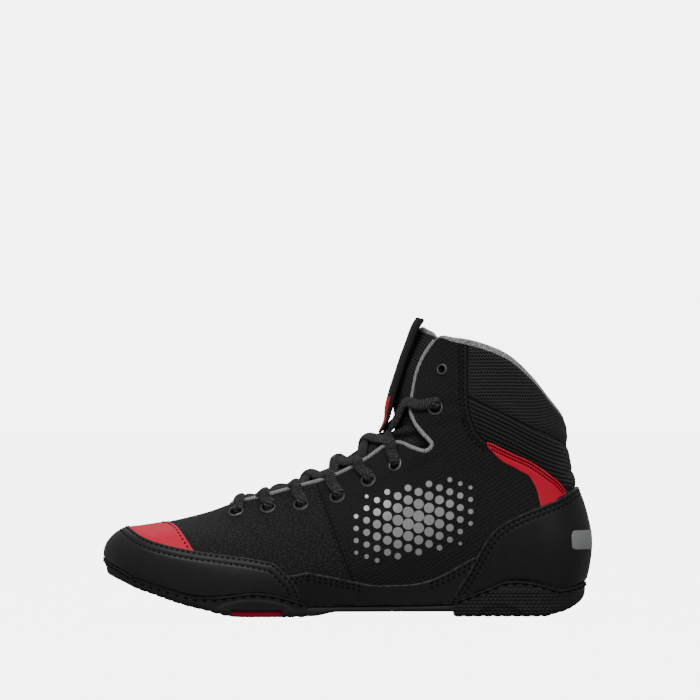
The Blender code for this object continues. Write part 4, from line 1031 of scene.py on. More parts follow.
def wrapped(stations, toe, *edges):
    """Turns and edges on both sides of the shoe, joined round the toe or round the heel."""
    if toe:
        return [np.concatenate([stations, ROUND - stations[-2::-1]])] + [
            np.concatenate([edge, edge[-2::-1]]) for edge in edges
        ]
    return [np.concatenate([-stations[:0:-1], stations])] + [
        np.concatenate([edge[:0:-1], edge]) for edge in edges
    ]


def both_panels(stations, low, high):
    """Name, turns and edges of a panel on each side of the shoe."""
    return ("lateral", stations, low, high), ("medial", ROUND - stations[::-1], low[::-1], high[::-1])


def edge_rows(turns, low, high, distances, lift, keep=0.0012):
    """Stitch paths at distances below a panel's top edge, kept inside the panel."""
    fine = np.linspace(turns[0], turns[-1], 5 * len(turns))
    top = np.interp(fine, turns, high)
    paths = []
    for distance in distances:
        at, rises = inset(fine, top, -distance)
        foot = np.interp(at, turns, low)
        inside = rises > foot + rise_step(at, np.clip(rises, 0.0, 1.0), keep)
        kept = np.nonzero(inside)[0]
        if len(kept) > 4:
            at, rises = at[kept[0]:kept[-1] + 1], rises[kept[0]:kept[-1] + 1]
            paths.append(row_on_upper(at, rises, lift))
    return paths


def build_toe(synthetic, red):
    """Toe cap and toe flash, and the stitch rows on them."""
    cap_top = above(CAP_EDGE, 0.0)
    end = narrow_end(close_above_lip, cap_top, 18.0, 13.0)
    stations = columns_between(end, TOE, 16)
    turns, low, high = wrapped(stations, True, close_above_lip(stations), cap_top(stations))
    overlay("toe_cap_panel", "synthetic", synthetic, turns, low, high, rows=46, channels=CAP_ROWS,
            stands_for=("toe_cap",))
    rows = edge_rows(turns, low, high, CAP_ROWS, ON_PANEL)
    flash_top = above(TOE_FLASH_EDGE, 0.0)
    flash_foot = above(CAP_EDGE, -0.0025)
    end = narrow_end(flash_foot, flash_top, 20.0, 15.0)
    stations = columns_between(end, TOE, 16)
    turns, low, high = wrapped(stations, True, flash_foot(stations), flash_top(stations))
    overlay("toe_flash_panel", "red_synthetic", red, turns, low, high, rows=30, thick=TOE_FLASH_THICK,
            lift=THIN_LIFT, channels=TOE_FLASH_ROWS, stands_for=("toe_flash",))
    lift = THIN_LIFT + TOE_FLASH_THICK - CHANNEL_DEPTH
    rows += edge_rows(turns, low, high, TOE_FLASH_ROWS, lift, keep=0.0035)
    return rows


def build_rands(synthetic):
    """Low side panels between toe cap and counter."""
    top = above(RAND_EDGE, 0.0)
    behind_cap = above(CAP_EDGE, -0.0020)
    before_counter = above(COUNTER_EDGE, -0.0020)

    def foot(stations):
        """Lower edge of the panel at some stations."""
        stations = np.asarray(stations, float)
        arch = (stations > ARCH_BACK) & (stations < ARCH_FRONT)
        low = np.where(arch, rise_step(stations, 0.0, SEAM_GAP), close_above_lip(stations))
        low = np.where(stations > 12.0, np.maximum(low, behind_cap(stations)), low)
        return np.where(stations < 8.0, np.maximum(low, before_counter(stations)), low)

    front = narrow_end(foot, top, 13.0, 17.0)
    back = narrow_end(foot, top, 8.0, 4.0)
    stations = columns_between(back, front, 14)
    low, high = foot(stations), top(stations)
    high = low + (high - low) * (1.0 - 0.8 * smoothstep(stations, 14.4, 15.2))
    rows = []
    for name, turns, foot_side, top_side in both_panels(stations, low, high):
        overlay(f"rand_{name}_panel", "synthetic", synthetic, turns, foot_side, top_side, rows=30,
                thick=RAND_THICK, lift=THIN_LIFT, stands_for=(f"rand_{name}",))
        for points, normals in edge_rows(turns, foot_side, top_side, RAND_ROWS, THIN_LIFT + RAND_THICK):
            share = share_of(points[:, 0])
            front_part = (share > 0.365) & (share < 0.53)
            rear_part = share > 0.665
            for part in (front_part, rear_part):
                if part.sum() > 4:
                    rows.append((points[part], normals[part]))
    return rows


def build_heel_panels(synthetic, red, grey):
    """Heel counter, the red flashes above it and the plain band at the back."""
    top = above(COUNTER_EDGE, 0.0)
    end = narrow_end(close_above_lip, top, 3.0, 8.0)
    stations = columns_between(0.0, end, 16)
    turns, low, high = wrapped(stations, False, close_above_lip(stations), top(stations))
    overlay("heel_counter_panel", "synthetic", synthetic, turns, low, high, rows=50, channels=COUNTER_ROWS,
            stands_for=("heel_counter",))
    rows = edge_rows(turns, low, high, COUNTER_ROWS, ON_PANEL)
    flash_top = above(HEEL_FLASH_TOP, 0.0)
    under_counter = above(COUNTER_EDGE, -0.0020)

    def foot(stations):
        """Lower edge of the panel at some stations."""
        return np.maximum(rise_at(stations, HEEL_FLASH_FOOT), under_counter(stations))

    front = narrow_end(foot, flash_top, 4.0, 6.0)
    back = narrow_end(foot, flash_top, 3.0, 0.3)
    stations = columns_between(back, front, 22)
    low, high = foot(stations), flash_top(stations)
    flash_rows = []
    for name, turns, foot_side, top_side in both_panels(stations, low, high):
        overlay(f"heel_flash_{name}_panel", "red_synthetic", red, turns, foot_side, top_side, rows=26,
                thick=0.5 * OVERLAY, lift=0.5 * GAP, channels=FLASH_ROWS,
                stands_for=(f"heel_flash_{name}",))
        flash_rows += edge_rows(turns, foot_side, top_side, FLASH_ROWS,
                                0.5 * GAP + 0.5 * OVERLAY - CHANNEL_DEPTH, keep=0.0008)
    build_heel_band(grey)
    return rows, flash_rows


HEEL_BAND = {"end": 2.05, "low": 0.372, "high": 0.500, "corner": 0.004}


def build_heel_band(grey):
    """A plain printed band round the back of the counter."""
    stations = columns_between(0.0, HEEL_BAND["end"], 18)
    low = rise_at(stations, ((0.0, HEEL_BAND["low"]), (1.2, HEEL_BAND["low"])))
    high = rise_at(stations, ((0.0, HEEL_BAND["high"]), (1.2, HEEL_BAND["high"])))
    path = skin(stations, 0.5 * (low + high))
    left = np.linalg.norm(path - path[-1], axis=-1)
    round_off = np.clip(1.0 - left / HEEL_BAND["corner"], 0.0, 1.0)
    cut = HEEL_BAND["corner"] * (1.0 - np.sqrt(1.0 - round_off**2)) / height(1.0)
    middle, half = 0.5 * (low + high), 0.5 * (high - low)
    half = half - np.minimum(cut * (high - low) / (HEEL_BAND["high"] - HEEL_BAND["low"]), 0.9 * half)
    turns, low, high = wrapped(stations, False, middle - half, middle + half)
    overlay("heel_band", "synthetic", grey, turns, low, high, rows=12, thick=0.00010,
            lift=GAP + OVERLAY)


def build_print(grey):
    """A field of round printed dots on the quarter, larger towards its middle."""
    columns, rows = 12, 6
    middle = np.array([place(DOT_MIDDLE[0]), height(DOT_MIDDLE[1])])
    parts = []
    angle = np.linspace(0.0, 2 * math.pi, 20, endpoint=False)
    for i in range(columns):
        for j in range(rows):
            off = np.array([(i - 0.5 * (columns - 1)), (j - 0.5 * (rows - 1)) + 0.5 * (i % 2) - 0.25])
            off = off * np.array([0.80, 0.92]) * DOT_PITCH
            reach = math.hypot(off[0] / 0.036, off[1] / 0.025)
            radius = DOT_RADIUS * (1.0 - 0.62 * reach**1.6)
            if radius < DOT_LEAST:
                continue
            centre = middle + np.array([off[0], off[1] + math.tan(DOT_LEAN) * off[0] * 0.45])
            rim_x = centre[0] + radius * np.cos(angle)
            rim_z = centre[1] + radius * np.sin(angle)
            turns, rises = spots(np.append(rim_x, centre[0]), np.append(rim_z, centre[1]))
            for at in (turns, ROUND - turns):
                base = skin(at, rises)
                x, z = base[:, 0], base[:, 2]
                relief = -folds(x, z)
                top = base + outward(at, rises) * (relief + DOT_THICK)[:, None]
                foot = base + outward(at, rises) * (relief - 0.00005)[:, None]
                count = len(angle)
                pairs = [(k, (k + 1) % count) for k in range(count)]
                faces = [[k, n, count] for k, n in pairs]
                faces += [[count + 1 + n, count + 1 + k, 2 * count + 1] for k, n in pairs]
                faces += [[k, count + 1 + k, count + 1 + n, n] for k, n in pairs]
                parts.append((np.vstack([top, foot]), faces))
    add_piece("quarter_dots", *joined(parts), grey, "synthetic")


def hump(x, z):
    """How far the rubber's side stands out at the ball and steps in at the heel's arch."""
    middle = place(0.5 * (HUMP_SPAN[0] + HUMP_SPAN[1]))
    half = 0.5 * (HUMP_SPAN[1] - HUMP_SPAN[0]) * LENGTH
    reach = np.hypot((x - middle) / half, (z - 0.001) / 0.0095)
    dome = SIDE_HUMP * smoothstep(reach, 1.03, 0.90) * (0.75 + 0.45 * np.clip(1.0 - reach**2, 0.0, 1.0))
    reach = np.hypot((x - place(0.810)) / 0.0135, z / 0.0062)
    recess = -0.0011 * smoothstep(reach, 1.02, 0.90)
    return dome + recess


def sole_wall(turns, lip, lift):
    """Rings of the rubber's side: from inside its lip, over it and down to the rim of its under side."""
    zero = np.zeros_like(turns)
    floor = on_upper(turns, zero, GAP)
    floor[:, 2] -= GAP
    rings = [floor, on_upper(turns, 0.5 * lip, GAP), on_upper(turns, lip, GAP)]
    full = GAP + LIP
    squeeze = np.minimum(1.0, 0.6 * lip / rise_step(turns, lip, LIP_ROLL[-1][0]))
    for below, out in LIP_ROLL:
        last = lip - rise_step(turns, lip, below) * squeeze
        rings.append(on_upper(turns, last, GAP + LIP * out))
    for share in np.linspace(0.0, 1.0, 12)[1:]:
        rises = last * (1.0 - share)
        point = on_upper(turns, rises, full)
        out = hump(point[:, 0], point[:, 2])
        rings.append(on_upper(turns, rises, full + out))
    start = on_upper(turns, zero, full)
    edge = on_upper(turns, zero, -around(NET["edge"], turns))
    edge[:, 2] = under_line(share_of(edge[:, 0])) + lift
    notch = 0.5 + 0.5 * np.cos(2 * math.pi * lengths_along(edge) / LUG_PITCH)
    notch = LUG_HEIGHT * smoothstep(notch, 0.45, 0.85) * (lift < 0.001)
    inside = outward(turns, zero)
    for angle in np.linspace(0.0, 0.5 * math.pi, 9)[1:]:
        inward = 1.0 - math.cos(angle) ** 0.75
        drop = math.sin(angle) ** 0.85
        point = start + (edge - start) * np.array([inward, inward, drop])
        point[:, 2] += notch * drop**6
        point += inside * hump(point[:, 0], point[:, 2])[:, None]
        rings.append(point)
    centre = edge * np.array([1.0, 0.0, 1.0])
    towards = centre - edge
    reach = np.linalg.norm(towards, axis=-1, keepdims=True)
    towards = towards / np.maximum(reach, 1e-6)
    for far, up in ((0.0022, notch), (0.0026, LUG_HEIGHT)):
        point = edge + towards * np.minimum(far, 0.45 * reach)
        point[:, 2] += up
        rings.append(point)
    rings = np.array(rings)
    rings[..., 2] = np.maximum(rings[..., 2], 0.0)
    return rings


def fill_between(start, end, count):
    """Rings that lead straight across from one side to the other."""
    shares = (np.arange(count) + 1.0) / (count + 1.0)
    return np.array([start + (end - start) * share for share in shares])


def rubber_cup(stations, lifts):
    """Points and faces of a rubber sole: zipped together at its round end, capped at its cut end."""
    lip_side = [lip_rise(at) for at in (stations, ROUND - stations)]
    lateral = sole_wall(stations, lip_side[0], lifts)
    medial = sole_wall(ROUND - stations, lip_side[1], lifts)
    medial[:, -1] = lateral[:, -1]
    under = fill_between(lateral[-1], medial[-1], 6)
    floor = fill_between(medial[0], lateral[0], 2)
    rings = np.concatenate([lateral, under, medial[::-1], floor])
    faces = grid_faces(len(rings), len(stations), round_rows=True)
    side, strip = len(lateral), len(under)
    at = [k * len(stations) for k in range(len(rings))]
    middle = at[side - 1:side + strip + 1]
    floor_end = [at[0]] + at[:2 * side + strip - 1:-1] + [at[2 * side + strip - 1]]
    return rings, faces + [at[:side], at[side + strip:2 * side + strip], middle + floor_end[::-1]]


def station_at(share):
    """Station whose feather edge lies at a place along the length."""
    stations = np.linspace(0.0, TOE, 841)
    shares = share_of(around(NET["foot_x"], stations))
    return float(np.interp(-share, -shares, stations))


def lugs(first, last, skip=None):
    """Round tread lugs on the under side between two places along the length."""
    stations = np.linspace(0.0, TOE, 421)
    lateral = on_upper(stations, 0.0, -around(NET["edge"], stations))
    medial = on_upper(ROUND - stations, 0.0, -around(NET["edge"], ROUND - stations))
    parts = []
    sides = 10
    angle = np.linspace(0.0, 2 * math.pi, sides, endpoint=False)
    step = LUG_PITCH * 0.5 * math.sqrt(3.0)
    for i, x in enumerate(np.arange(place(first), place(last), step)):
        share = share_of(x)
        if skip and skip[0] - 0.008 < share < skip[1] + 0.008:
            continue
        low = np.interp(-x, -lateral[:, 0], lateral[:, 1])
        high = np.interp(-x, -medial[:, 0], medial[:, 1])
        for y in np.arange(-0.06, 0.06, LUG_PITCH) + 0.5 * LUG_PITCH * (i % 2):
            if not low + LUG_ROOM < y < high - LUG_ROOM:
                continue
            ground = float(under_line(share))
            rings = [
                [(x + radius * math.cos(a), y + radius * math.sin(a), ground + level) for a in angle]
                for radius, level in LUG_RINGS
            ]
            parts.append((np.array(rings).reshape(-1, 3), tube_faces(len(LUG_RINGS), sides)))
    return parts


def build_soles(rubber, red_rubber, thread):
    """Forefoot and heel rubber, the red insert, the arch between them and the long lip stitches."""
    span = [station_at(INSERT_SPAN[1]), station_at(INSERT_SPAN[0])]
    fine = np.linspace(FOREFOOT_END, TOE, 171)
    step = 0.02
    fine = np.sort(np.concatenate([fine, [end + way for end in span for way in (-step, step)]]))
    lifts = np.where((fine > span[0]) & (fine < span[1]), INSERT_THICKNESS + GAP, 0.0)
    parts = [rubber_cup(fine, lifts)] + lugs(0.020, 0.404, INSERT_SPAN)
    add_piece("forefoot_rubber", *joined(parts), rubber, "rubber", ("outsole_forefoot",), sharp=42.0)
    fine = np.linspace(HEEL_END, 0.0, 121)
    parts = [rubber_cup(fine, np.zeros_like(fine))] + lugs(0.735, 0.955)
    add_piece("heel_rubber", *joined(parts), rubber, "rubber", ("outsole_heel",), sharp=42.0)
    build_insert(red_rubber)
    build_arch(rubber)
    paths = []
    for first, last, toe in ((FOREFOOT_END + 0.05, TOE, True), (0.0, HEEL_END - 0.05, False)):
        stations = columns_between(first, last, 30)
        turns, lip = wrapped(stations, toe, lip_rise(stations))
        at, rises = inset(turns, lip, -0.0016)
        paths.append(row_on_upper(at, rises, GAP + LIP - 0.0002))
    add_piece("lip_stitches", *stitches(paths, *LIP_THREAD), thread, "lace")


def build_insert(red_rubber):
    """Red rubber pad at the ball, with its own lugs."""
    step = -GAP / LENGTH
    stations = np.linspace(station_at(INSERT_SPAN[1] - step), station_at(INSERT_SPAN[0] + step), 40)
    sides = []
    for turns in (stations, ROUND - stations):
        edge = on_upper(turns, 0.0, -around(NET["edge"], turns))
        edge[:, 2] = under_line(share_of(edge[:, 0]))
        sides.append(edge)
    rings = []
    profile = ((0.0030, INSERT_THICKNESS), (-0.0006, INSERT_THICKNESS), (-0.0010, 0.7 * INSERT_THICKNESS),
               (-0.0008, 0.0010), (-0.0002, 0.0002), (0.0016, 0.0), (0.0022, LUG_HEIGHT))
    for order, edge in enumerate(sides):
        towards = np.where(edge[:, 1:2] < 0.0, 1.0, -1.0) * np.array([0.0, 1.0, 0.0])
        side = [edge + towards * far + np.array([0.0, 0.0, up]) for far, up in profile]
        rings.append(side if order == 0 else side[::-1])
    under = fill_between(rings[0][-1], rings[1][0], 5)
    over = fill_between(rings[1][-1], rings[0][0], 5)
    rings = np.concatenate([np.array(rings[0]), under, np.array(rings[1]), over])
    parts = [(rings, slab_faces(rings))] + lugs(INSERT_SPAN[0] + 0.012, INSERT_SPAN[1] - 0.008)
    add_piece("ball_insert", *joined(parts), red_rubber, "red_rubber", ("outsole_insert",), sharp=35.0)


def build_arch(rubber):
    """Thin plate that bridges forefoot and heel, with a rounded edge and shallow lengthwise ribs."""
    stations = np.linspace(ARCH_BACK - 0.12, ARCH_FRONT + 0.12, 90)
    low = ARCH_RISE * (1.0 - 0.8 * smoothstep(stations, 12.9, 13.9))
    top = around(NET["foot_z"], stations) - GAP
    sides = []
    for turns in (stations, ROUND - stations):
        rings = []
        for bend in np.linspace(0.0, math.pi, 9):
            level = 0.5 * (1.0 + math.cos(bend))
            ring = on_upper(turns, 0.0, GAP + OVERLAY - 0.0014 * (1.0 - math.sin(bend)))
            ring[:, 2] = low + (top - low) * level
            rings.append(ring)
        sides.append(rings)
    lateral, medial = sides
    under = fill_between(lateral[-1], medial[-1], 23)
    share = np.linspace(0.0, 1.0, 25)[1:-1]
    under[:, :, 2] += (0.0005 * (0.5 + 0.5 * np.cos(2 * math.pi * 8 * share)))[:, None]
    over = fill_between(medial[0], lateral[0], 5)
    rings = np.concatenate([np.array(lateral), under, np.array(medial)[::-1], over])
    add_piece("arch_plate", rings, slab_faces(rings), rubber, "synthetic", ("sole_arch",))


def build_insole(lining):
    """Soft insole with a rounded edge, slightly dished at the heel."""
    stations = np.linspace(0.0, TOE, 127)
    bottom = around(NET["foot_z"], stations)
    sides = []
    for turns in (stations, ROUND - stations):
        rings = []
        for inward, up in ((0.0006, 0.0), (0.0, 0.0008), (0.0, 0.0022), (0.0005, 0.0028), (0.0014, 0.0030)):
            ring = on_upper(turns, 0.0, -(WALL + GAP + inward))
            ring[:, 2] = bottom + up
            rings.append(ring)
        sides.append(np.array(rings))
    over = fill_between(sides[0][-1], sides[1][-1], 15)
    share = np.linspace(0.0, 1.0, 17)[1:-1]
    over[:, :, 2] -= (0.0010 * np.sin(math.pi * share))[:, None]
    under = fill_between(sides[1][0], sides[0][0], 3)
    rings = np.concatenate([sides[0], over, sides[1][::-1], under])
    faces = grid_faces(len(rings), len(stations), round_rows=True)
    made = add_piece("insole_pad", rings, faces, lining, "lining", ("insole",))


def tongue_rows(count_up=170, count_over=61):
    """Front face of the tongue, row by row from the toe end up to its free tip."""
    table = np.array(TONGUE[::-1])
    ats = np.linspace(TONGUE[0][0], TONGUE[-1][0], count_up)
    columns = [smooth(list(zip(table[:, 0], table[:, k])), ats) for k in (1, 2, 3)]
    rows = [tongue_row(*place_and_shape, count_over)[0] for place_and_shape in zip(ats, *columns)]
    last = rows[-1]
    back, up = TONGUE_END
    for climb in np.linspace(0.0, 1.0, 22)[1:]:
        wide = math.sqrt(1.0 - (TONGUE_NARROW * climb) ** 2)
        row = last + np.array([back * climb * LENGTH, 0.0, up * climb * INSTEP_HEIGHT])
        centre = row[len(row) // 2].copy()
        rows.append(centre + (row - centre) * wide)
    return np.array(rows)


def grid_normals(grid):
    """Outward direction at each point of a grid."""
    return unit(np.cross(np.gradient(grid, axis=0), np.gradient(grid, axis=1)))


def padded_sheet(name, slot, finish, grid, thickness, roll, puff, stands_for, marks=None):
    """A sheet with a soft rolled border and a crowned front."""
    rows, columns = grid.shape[:2]
    over = np.linalg.norm(np.diff(grid, axis=1, prepend=grid[:, :1]), axis=-1).cumsum(axis=1)
    up = np.linalg.norm(np.diff(grid, axis=0, prepend=grid[:1]), axis=-1).cumsum(axis=0)
    to_edge = np.minimum(np.minimum(over, over[:, -1:] - over), np.minimum(up, up[-1:] - up))
    share = 1.0 - np.clip(to_edge / roll, 0.0, 1.0)
    round_off = np.sqrt(np.clip(1.0 - share**2, 0.0, 1.0))
    normals = grid_normals(grid)
    thick = np.broadcast_to(thickness, (rows, columns))
    middle = grid - normals * (0.5 * thick)[..., None]
    half = (0.5 * thick * round_off)[..., None]
    front = middle + normals * (half + puff[..., None] * round_off[..., None])
    back = middle - normals * half
    points = np.concatenate([front, back[::-1]])
    faces = grid_faces(2 * rows, columns, round_rows=True)
    for k in range(rows - 1):
        other = 2 * rows - 1 - k
        for j in (0, columns - 1):
            faces.append([row * columns + j for row in (k, k + 1, other - 1, other)])
    filled = {mark: np.concatenate([value, value[::-1]]).ravel() for mark, value in (marks or {}).items()}
    behind = np.ones((rows, columns))
    behind[[0, -1]] = 0.0
    behind[:, [0, -1]] = 0.0
    filled["back"] = np.concatenate([np.zeros((rows, columns)), behind[::-1]]).ravel()
    filled["edge"] = np.concatenate([to_edge, to_edge[::-1]]).ravel() * MM
    places = cloth_places(grid)
    places[..., 0] = over
    filled["cloth"] = np.concatenate([places, places[::-1]]).reshape(-1, 3)
    return add_piece(name, points, faces, finish, slot, stands_for, filled)


# How far the tongue's top corners drop below its tip
TONGUE_CORNER = 0.0085


def build_tongue(mesh_cloth):
    """The padded tongue."""
    grid = tongue_rows()
    x, z = grid[..., 0], grid[..., 2]
    side = np.linspace(-1.0, 1.0, grid.shape[1])[None, :]
    climb = np.linspace(0.0, 1.0, grid.shape[0])[:, None]
    grid[..., 2] -= TONGUE_CORNER * smoothstep(np.abs(side), 0.42, 1.0) * smoothstep(climb, 0.80, 1.0)
    bend = np.exp(-(((z - height(1.09)) / 0.011) ** 2)) * (x > place(0.55))
    gathers = 0.0013 * bend * np.sin(2 * math.pi * (z - 0.25 * np.abs(side) * 0.02) / 0.0085)
    ridges = 0.0003 * np.cos(2 * math.pi * side * 2.5) * smoothstep(climb, 0.55, 0.7)
    puff = gathers + ridges
    made = padded_sheet("tongue_pad", "fabric", mesh_cloth, grid, TONGUE_THICKNESS, 0.0024, puff, ("tongue",))


# Foam behind the upper part of the cover
COVER_PAD = 0.0018


def build_cover(synthetic):
    """Thin strip that stands in front of the tongue, red on the low part of its front."""
    shares = np.linspace(0.0, 1.0, 90)
    knots = np.linspace(0.0, 1.0, len(COVER))
    xs = place(smooth(list(zip(knots, [p[0] for p in COVER])), shares))
    zs = height(smooth(list(zip(knots, [p[1] for p in COVER])), shares))
    rows = []
    for k, (x, z) in enumerate(zip(xs, zs)):
        half = 0.5 * COVER_WIDTH * min(1.0, 0.5 + 1.53 * shares[k])
        sides = np.linspace(-1.0, 1.0, 33)
        curl = COVER_CURL * (half * sides / (0.5 * COVER_WIDTH)) ** 2
        rows.append(np.stack([x + curl, half * sides, z - 0.25 * curl], axis=-1))
    grid = np.array(rows)
    puff = 0.0001 * np.cos(np.linspace(-math.pi, math.pi, 33))[None, :] * np.ones((90, 1))
    high = np.broadcast_to(((grid[..., 2] - height(1.0)) * MM), puff.shape)
    thick = COVER_THICKNESS + COVER_PAD * smoothstep(shares, 0.10, 0.42)[:, None]
    padded_sheet("lace_cover_strip", "red_synthetic", synthetic, grid, thick, 0.0006, puff,
                 ("lace_cover",), {"high": high})


def throat_path():
    """Turns and rises of the throat edge on the lateral side, from the toe end to the collar's front."""
    front = np.linspace(19.6, 12.9, 16)
    bay = np.array(BAY_EDGE)
    curve = np.column_stack([place(bay[:, 0]), height(bay[:, 1])])
    bay_turns, bay_rises = spots(curve[:, 0], curve[:, 1])
    back = np.linspace(8.55, 7.15, 5)
    turns = np.concatenate([front, bay_turns, back])
    rises = np.concatenate([np.full(len(front), THROAT_RISE), bay_rises, np.full(len(back), THROAT_RISE)])
    return turns, rises


def build_piping(finish):
    """Grey cord sewn round the throat edge, through the ankle bay and up to the collar."""
    turns, rises = throat_path()
    parts = []
    for side in (turns, ROUND - turns):
        inside = -0.5 * wall(side, rises)
        points = on_upper(side, rises, inside + 0.0007)
        path = curve_through(points, 0.0005)
        at, knots = np.linspace(0, 1, len(path)), np.linspace(0, 1, len(side))
        ups = read_along(at, knots, outward(side, rises))
        size = np.full(len(path), 2 * PIPING)
        parts.append(sweep(path, ups, size, size, sides=12))
    round_toe = np.array([19.6, 20.3, TOE, ROUND - 20.3, ROUND - 19.6])
    front = on_upper(round_toe, THROAT_RISE, -0.5 * WALL + 0.0003)
    path = curve_through(front, 0.0005)
    ups = np.broadcast_to(np.array([0.0, 0.0, 1.0]), path.shape)
    size = np.full(len(path), 2 * PIPING)
    parts.append(sweep(path, ups, size, size, sides=12))
    points, faces = joined(parts)
    add_piece("throat_piping", points, faces, finish, "lining")


def build_eyelets(metal):
    """Flanged rings with a rolled edge, one in each hole."""
    sides = 40
    for number, (share, crest, size) in enumerate(EYELETS, start=1):
        turn, rise = spot_at(place(share), height(crest))
        for side_name, at in (("lateral", turn), ("medial", ROUND - turn)):
            hole = 0.5 * EYELET_HOLE * size
            rim = 0.5 * EYELET_FLANGE * size * RIM_SPREAD
            depth = float(wall(at, rise))
            top = EYELET_DEPTH
            profile = [
                (hole + EYELET_WALL, -depth), (hole, -depth), (hole, 0.0), (hole + 0.0001, 0.55 * top),
                (hole + 0.0003, 0.85 * top), (hole + 0.0006, 0.80 * top), (rim - 0.0013, 0.35 * top),
                (rim - 0.0009, 0.75 * top), (rim - 0.0006, top), (rim - 0.0003, 0.85 * top),
                (rim, 0.12 * top), (rim - 0.0002, 0.0), (hole + EYELET_WALL, 0.0),
            ]
            origin, up, across_way, normal = axes_at(at, rise)
            origin = origin + normal * 0.0002
            angle = np.linspace(0.0, 2 * math.pi, sides, endpoint=False)
            arms = np.cos(angle)[:, None] * up + np.sin(angle)[:, None] * across_way
            rings = np.array([origin + arms * radius + normal * level for radius, level in profile])
            faces = grid_faces(len(profile), sides, round_rows=True, round_columns=True)
            far = np.repeat([(rim - radius) * MM for radius, level in profile], sides)
            add_piece(f"eyelet_ring_{side_name}_{number}", rings, faces, metal, "eyelet",
                      (f"eyelet_{side_name}_{number}",), {"edge": far})


def lace_shape(points, ups, widths, heights):
    """A woven lace through a few points, with its fine cross ribs."""
    path = curve_through(points, 0.00028)
    at = np.linspace(0.0, 1.0, len(path))
    lengths = lengths_along(points)
    knots = lengths / lengths[-1]
    ups = unit(read_along(at, knots, ups))
    run = at * lengths[-1]
    rib = 1.0 + 0.030 * np.cos(2 * math.pi * run / LACE_RIB)
    widths = np.interp(at, knots, widths) * LACE_WIDTH * LACE_FULL * rib
    heights = np.interp(at, knots, heights) * LACE_THICKNESS * rib
    sides = 14
    return (*sweep(path, ups, widths, heights, sides), np.repeat(run * MM, sides))


def eyelet_dive(turn, rise):
    """The end of a lace run: over an eyelet's rim, down its hole and behind the flap."""
    toward = 0.0010
    step = float(rise_step(turn, rise, toward))
    inside = -float(wall(turn, rise))
    levels = (
        (2.6 * step, 0.00185, 1.00, 0.95), (0.9 * step, 0.00170, 0.86, 0.95),
        (0.25 * step, 0.0004, 0.76, 0.92), (0.0, inside - 0.0004, 0.64, 0.80),
        (0.4 * step, inside - 0.0016, 0.60, 0.50),
    )
    points = [on_upper(turn, rise + level[0], level[1]) for level in levels]
    along_up = unit(skin(turn, rise + 0.02) - skin(turn, rise - 0.02))
    normal = outward(turn, rise)
    lean = ((0.0, 1.0), (-0.5, 0.9), (-1.0, 0.25), (-1.0, 0.0), (-0.6, -0.6))
    ups = [along_up * a + normal * b for a, b in lean]
    return points, ups, [level[2] for level in levels], [level[3] for level in levels]


def lace_half(over, low_at, high_at, low_spot, high_spot, medial_high):
    """One run of lace: from under the lower flap, over the tongue and down into its upper eyelet."""
    lift = LACE_LIFT
    middle_at = 0.5 * (low_at + high_at)
    points, ups, widths, heights = [], [], [], []

    def add(point, up, width=1.0, thick=1.0):
        """One more place of the run, with its direction, width and thickness."""
        points.append(np.asarray(point, float))
        ups.append(np.asarray(up, float))
        widths.append(width)
        heights.append(thick)

    turn, rise = low_spot
    under = -float(wall(turn, rise)) - 0.0008
    add(on_upper(turn, rise + 0.3 * (1 - rise), under), outward(turn, rise), 0.8, 0.35)
    add(on_upper(0.5 * (turn + low_at), rise + 0.75 * (1 - rise), under), outward(turn, rise), 0.9, 0.4)
    for share, climbed, more, thick in ((0.235, 0.10, -0.0002, 0.75), (0.33, 0.45, 0.0003, 1.0)):
        at = low_at + (middle_at - low_at) * climbed
        point, normal = tongue_spot(at, share, lift + more)
        add(point, normal, 1.0, thick)
    point, normal = tongue_spot(middle_at, 0.50, lift + (0.0019 if over else 0.0002))
    add(point, normal)
    at = middle_at + (high_at - middle_at) * 0.45
    point, normal = tongue_spot(at, 0.67, lift + 0.0009)
    add(point, normal)
    turn, rise = high_spot
    edge_at = ROUND - 0.10 * middle_at - 0.90 * high_at
    add(on_upper(edge_at, 1.0, lift + PIPING * 0.9), outward(edge_at, 1.0))
    between = 0.55 * skin(edge_at, 1.0) + 0.45 * skin(ROUND - turn, rise)
    half_turn, half_rise = spots(between[0], between[2])
    half_turn, half_rise = ROUND - float(half_turn[0]), float(half_rise[0])
    add(on_upper(half_turn, half_rise, lift + 0.0002), outward(half_turn, half_rise))
    dive = eyelet_dive(ROUND - turn, rise)
    for point, up, width, thick in zip(*dive):
        add(point, up, width, thick)
    points, ups = np.array(points), np.array(ups)
    if not medial_high:
        points, ups = mirror_point(points), mirror_point(ups)
    return lace_shape(points, ups, widths, heights)


def mirror_point(value):
    """A point or direction on the other side of the shoe."""
    return np.asarray(value) * np.array([1.0, -1.0, 1.0])


